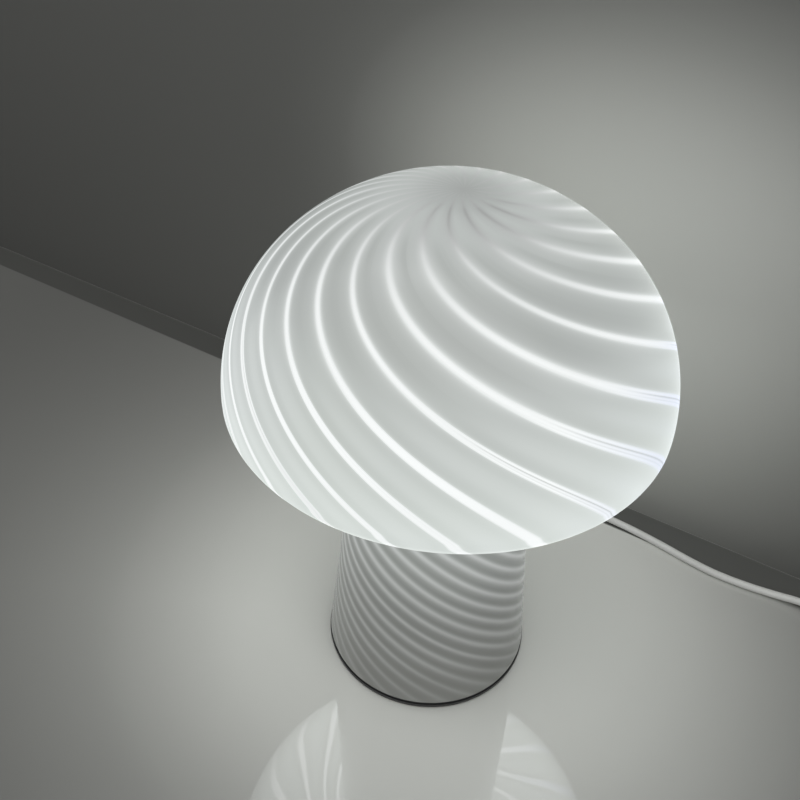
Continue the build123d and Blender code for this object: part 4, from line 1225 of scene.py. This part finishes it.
cordHole = [(0.5, 2.0), (0.0, 2.05)]  # Distance from a cord's way in, and radius


def groovedTaper(start, end, startRadius, endRadius, values, count):
    # Straight taper with round-edged grooves cut round it
    place = np.linspace(start, end, count)
    radius = startRadius + (endRadius - startRadius) * (place - start) / (end - start)
    low, high = values["grooveStart"], values["grooveEnd"]
    phase = (place - low) / (high - low) * values["grooves"]
    inside = (phase > 0) & (phase < values["grooves"])
    dip = np.clip((np.cos(2 * np.pi * (phase - 0.5)) + 0.1) * 2.2, 0, 1)
    return np.stack([place, radius - np.where(inside, dip, 0) * values["grooveDepth"]], -1)


def buildStrainRelief(values):
    v = values
    bevel = v["bevel"]
    head = [
        (v["flangeStart"], v["flangeRadius"] - bevel),
        (v["flangeStart"] + bevel, v["flangeRadius"]),
        (v["flangeEnd"] - bevel, v["flangeRadius"]), (v["flangeEnd"], v["flangeRadius"] - bevel),
        (v["flangeEnd"], v["neckRadius"]), (v["bodyStart"], v["neckRadius"]),
        (v["bodyStart"], v["bodyRadius"]), (v["step"], v["bodyRadius"]),
        (v["step"], v["collarRadius"] - bevel), (v["step"] + bevel, v["collarRadius"]),
        (v["collarEnd"] - bevel, v["collarRadius"]), (v["collarEnd"], v["collarRadius"] - bevel),
    ]
    tail = groovedTaper(v["collarEnd"], v["tip"] - bevel, v["rootRadius"],
                        v["tipRadius"] + 0.02, v, 90)
    end = [(v["tip"], v["tipRadius"] - bevel), (v["tip"], 2.05), (v["tip"] - 0.6, 2.0)]
    profile = np.concatenate([head, tail, end])
    grid = turnedGrid(v["origin"], (0, 1, 0), (0, 0, 1), profile, 48) / 1000
    relief = surfaceMesh("strainRelief", grid, caps=True, sharpAngle=38)
    return finished(paint(relief, "cordWhite"), "base", "cord_white", "strain_relief")


def buildSleeve(name, node, place, heading, values):
    v = values
    direction = (np.cos(np.radians(heading)), np.sin(np.radians(heading)), 0.0)
    tail = groovedTaper(v["bevel"], v["length"], v["tipRadius"], v["rootRadius"], v, 60)
    end = [(v["length"], v["neckRadius"]), (v["neckEnd"], v["neckRadius"]),
           (v["neckEnd"], v["rootRadius"]), (v["flangeEnd"], v["rootRadius"])]
    profile = np.concatenate([cordHole, [(0.0, v["tipRadius"] - v["bevel"])], tail, end])
    grid = turnedGrid((*place, v["level"]), direction, (0, 0, 1), profile, 40) / 1000
    sleeve = surfaceMesh(name, grid, caps=True, sharpAngle=38)
    return finished(paint(sleeve, "cordWhite"), "base", "cord_white", node)


strainRelief = buildStrainRelief(reliefValues)
inletSleeve = buildSleeve("inletSleeve", "inlet_sleeve", sleeveValues["inlet"],
                          sleeveValues["heading"], sleeveValues)
outletSleeve = buildSleeve("outletSleeve", "outlet_sleeve", sleeveValues["outlet"],
                           sleeveValues["heading"] + 180, sleeveValues)

# Keys of the control, in millimetres
keyValues = {
    "foot": 8.75, "stemRadius": 2.0, "flangeFoot": 9.95, "flangeRadius": 5.4, "stop": 10.85,
    "radius": 4.6, "top": 13.5, "rounding": 0.5, "dishDepth": 0.28, "heading": -27.0,
    "signWidth": 0.36, "signHeight": 0.16, "powerRing": 1.7, "powerBar": (0.5, 1.2, 2.2),
    "lampRing": 0.95, "rays": (1.6, 2.3),
}


def signStrip(centre, points, values, closed):
    # Rounded strip that follows a level line on the key's dished top
    v = values
    line = np.asarray(points, float)
    ahead = np.roll(line, -1, 0) - np.roll(line, 1, 0)
    if not closed:
        ahead[0], ahead[-1] = line[1] - line[0], line[-1] - line[-2]
    ahead /= np.linalg.norm(ahead, axis=1, keepdims=True)
    side = np.stack([ahead[:, 1], -ahead[:, 0]], -1)
    level = v["top"] - v["dishDepth"] * (
        1 - (np.hypot(*line.T) / (v["radius"] - v["rounding"])) ** 2)
    angle = np.linspace(0, 2 * np.pi, 12, endpoint=False)
    width, rise = v["signWidth"] / 2 * np.cos(angle), v["signHeight"] * np.sin(angle)
    flat = line[:, None] - width[None, :, None] * side[:, None]
    height = level[:, None] + rise[None]
    strip = np.concatenate([flat, height[..., None]], -1)
    return localToRow(strip, centre, v["heading"]) / 1000


def buildKey(name, node, body, signs, values):
    v = values
    low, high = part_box(node)
    centre = ((low[0] + high[0]) * 500, (low[1] + high[1]) * 500)
    angle = np.radians(np.linspace(0, 90, 6))
    reach = v["radius"] - v["rounding"]
    corner = np.stack([v["top"] - v["rounding"] * (1 - np.sin(angle)),
                       reach + v["rounding"] * np.cos(angle)], -1)
    inward = np.linspace(reach, 0.15, 12)[1:]
    dish = np.stack([v["top"] - v["dishDepth"] * (1 - (inward / reach) ** 2), inward], -1)
    profile = np.concatenate([
        [(v["foot"], v["stemRadius"]), (v["flangeFoot"], v["stemRadius"]),
         (v["flangeFoot"], v["flangeRadius"]), (v["stop"], v["flangeRadius"]),
         (v["stop"], v["radius"])], corner, dish,
    ])
    grid = turnedGrid((*centre, 0.0), (0, 0, 1), (1, 0, 0), profile, 56) / 1000
    key = surfaceMesh(name, grid, caps=True, sharpAngle=40)
    finished(paint(key, "keyGrey"), body, "key_grey", node)
    for index, (points, closed) in enumerate(signs):
        strip = signStrip(centre, points, v, closed)
        sign = surfaceMesh(f"{name}Sign{index + 1}", strip, along=closed, caps=not closed)
        finished(paint(sign, "whitePlastic"), body, "white_plastic")
    return key


def ringLine(radius, start, end, count):
    angle = np.radians(np.linspace(start, end, count, endpoint=end - start < 360))
    return np.stack([radius * np.cos(angle), radius * np.sin(angle)], -1)


powerSigns = [(ringLine(keyValues["powerRing"], 125, 415, 36), False),
              (np.array([(0, height) for height in keyValues["powerBar"]]), False)]
raySigns = [(np.stack([ringLine(reach, turn, turn + 359, 2)[0] for reach in keyValues["rays"]]),
             False) for turn in range(0, 360, 45)]
dimmerSigns = [(ringLine(keyValues["lampRing"], 0, 360, 28), True), *raySigns]
powerKey = buildKey("powerKey", "power_key", "power_button", powerSigns, keyValues)
dimmerKey = buildKey("dimmerKey", "dimmer_key", "dimmer_button", dimmerSigns, keyValues)

# Plug grip, in millimetres from where the cord goes in
gripValues = {
    "origin": (239.312, -58.796, 4.2), "heading": 153.0, "tipRadius": 2.7, "neck": 9.0,
    "neckRadius": 3.4, "shoulder": 14.5, "end": 37.0, "halfWidth": 7.8, "halfHeight": 4.2,
    "rounding": 1.1, "openWidth": 6.05, "openHeight": 2.3, "openDepth": 4.0, "bevel": 0.25,
    "grooves": 3, "grooveDepth": 0.45, "grooveStart": 1.4, "grooveEnd": 8.2,
    "ridges": 5, "ridgeStart": 19.0, "ridgeEnd": 30.0, "ridgeDepth": 0.35,
    "roundPower": 2.0, "blockPower": 5.5, "endPower": 7.0, "openPower": 14.0,
}


def superRing(place, halfWidth, halfHeight, power, count):
    # Oval whose corners fill out as its power grows
    angle = np.linspace(0, 2 * np.pi, count, endpoint=False)[None]
    wide, tall = (half[:, None] * np.sign(part) * np.abs(part) ** (2 / power[:, None])
                  for half, part in ((halfWidth, np.cos(angle)), (halfHeight, np.sin(angle))))
    return np.stack([np.broadcast_to(place[:, None], wide.shape), wide, tall], -1)


def buildGrip(values):
    # Round grooved neck that widens through a shoulder into a flat block with finger ridges
    v = values
    neck = groovedTaper(v["bevel"], v["neck"], v["tipRadius"], v["neckRadius"], v, 60)
    share = np.linspace(0, 1, 22)[1:]
    block = np.linspace(v["shoulder"], v["end"] - v["rounding"], 70)[1:]
    phase = (block - v["ridgeStart"]) / (v["ridgeEnd"] - v["ridgeStart"]) * v["ridges"]
    inside = (phase > 0) & (phase < v["ridges"])
    dip = np.where(inside, np.clip((np.cos(2 * np.pi * (phase - 0.5)) + 0.2) * 1.6, 0, 1), 0)
    corner = np.radians(np.linspace(0, 90, 7))[1:]
    place = np.concatenate([
        [0.5, 0.0, 0.0], neck[:, 0], v["neck"] + (v["shoulder"] - v["neck"]) * share, block,
        v["end"] - v["rounding"] * (1 - np.sin(corner)), [v["end"], v["end"] - v["openDepth"]],
    ])
    pull = v["rounding"] * (1 - np.cos(corner))
    wide, tall = (np.concatenate([
        [2.0, 2.05, v["tipRadius"] - v["bevel"]], neck[:, 1],
        v["neckRadius"] + (half - v["neckRadius"]) * ease(share),
        half - depth * v["ridgeDepth"] * dip, half - pull, [opening, opening],
    ]) for half, depth, opening in ((v["halfWidth"], 0.5, v["openWidth"]),
                                    (v["halfHeight"], 1.0, v["openHeight"])))
    power = np.concatenate([
        np.full(3 + len(neck), v["roundPower"]),
        v["roundPower"] + (v["blockPower"] - v["roundPower"]) * ease(share),
        np.full(len(block), v["blockPower"]),
        v["blockPower"] + (v["endPower"] - v["blockPower"]) * np.sin(corner),
        [v["openPower"], v["openPower"]],
    ])
    grid = localToRow(superRing(place, wide, tall, power, 96)[:, ::-1], v["origin"][:2],
                      v["heading"])
    grid[..., 2] += v["origin"][2]
    grip = surfaceMesh("plugGrip", grid / 1000, caps=True, sharpAngle=40)
    return finished(paint(grip, "whitePlastic"), "base", "white_plastic", "plug_grip")


plugGrip = buildGrip(gripValues)

# Tie round the coil, in millimetres across and above the coil
tieValues = {
    "inner": 11.28, "outer": 33.3, "bottom": 0.37, "top": 10.13, "corner": 2.55, "sag": 0.12,
    "halfWidth": 4.0, "halfThickness": 0.34, "tailStart": 13.0, "tailEnd": 27.5,
    "tailHalfWidth": 3.7, "tailRise": 0.5, "riseFrom": 25.0,
}


def strap(name, line, normal, halfWidth, values, closed):
    # Flat strap with rounded edges: its cross section rides along a line in the tie's own plane
    angle = np.linspace(0, 2 * np.pi, 20, endpoint=False)
    thick = values["halfThickness"] * np.sign(np.sin(angle)) * np.abs(np.sin(angle)) ** 0.6
    wide = halfWidth * np.sign(np.cos(angle)) * np.abs(np.cos(angle)) ** 0.25
    across = line[:, None] + thick[None, :, None] * normal[:, None]
    grid = np.stack([np.broadcast_to(wide[None], across.shape[:2]), -across[..., 0],
                     across[..., 1]], -1)
    grid = localToRow(grid, cordValues["coilCentre"], cordValues["coilHeading"]) / 1000
    piece = surfaceMesh(name, grid, along=closed, caps=not closed)
    return finished(paint(piece, "tieCloth"), "base", "tie_black",
                    *(["coil_tie"] if closed else []))


def buildTie(values):
    v = values
    reach = v["corner"]
    low, high = v["bottom"] + reach, v["top"] - reach
    near, far = v["inner"] + reach, v["outer"] - reach
    centres = np.array([(far, high), (near, high), (near, low), (far, low)])
    pieces = []
    for index, centre in enumerate(centres):
        turn = np.radians(90 * index + 90)
        out = np.array([np.cos(turn), np.sin(turn)])
        share = np.linspace(0, 1, 14, endpoint=False)[:, None]
        straight = centre + reach * out + (centres[(index + 1) % 4] - centre) * share
        # The strap sags a little between the turns it passes over
        straight -= v["sag"] * np.sin(np.pi * share) ** 2 * out
        pieces += [arcPoints(centre, reach, 90 * index, 90 * index + 90, 10), straight]
    line = np.concatenate(pieces)
    ahead = np.roll(line, -1, 0) - np.roll(line, 1, 0)
    ahead /= np.linalg.norm(ahead, axis=1, keepdims=True)
    normal = np.stack([ahead[:, 1], -ahead[:, 0]], -1)
    band = strap("coilTie", line, normal, v["halfWidth"], v, True)
    place = np.linspace(v["tailStart"], v["tailEnd"], 30)
    lifted = np.clip((place - v["riseFrom"]) / (v["tailEnd"] - v["riseFrom"]), 0, 1) ** 2
    height = v["top"] - 0.04 + 2.1 * v["halfThickness"] + v["tailRise"] * lifted
    up = np.tile([0.0, 1.0], (len(place), 1))
    tab = strap("tieTab", np.stack([place, height], -1), up, v["tailHalfWidth"], v, False)
    return band, tab


coilTie, tieTab = buildTie(tieValues)
print("small pieces made")
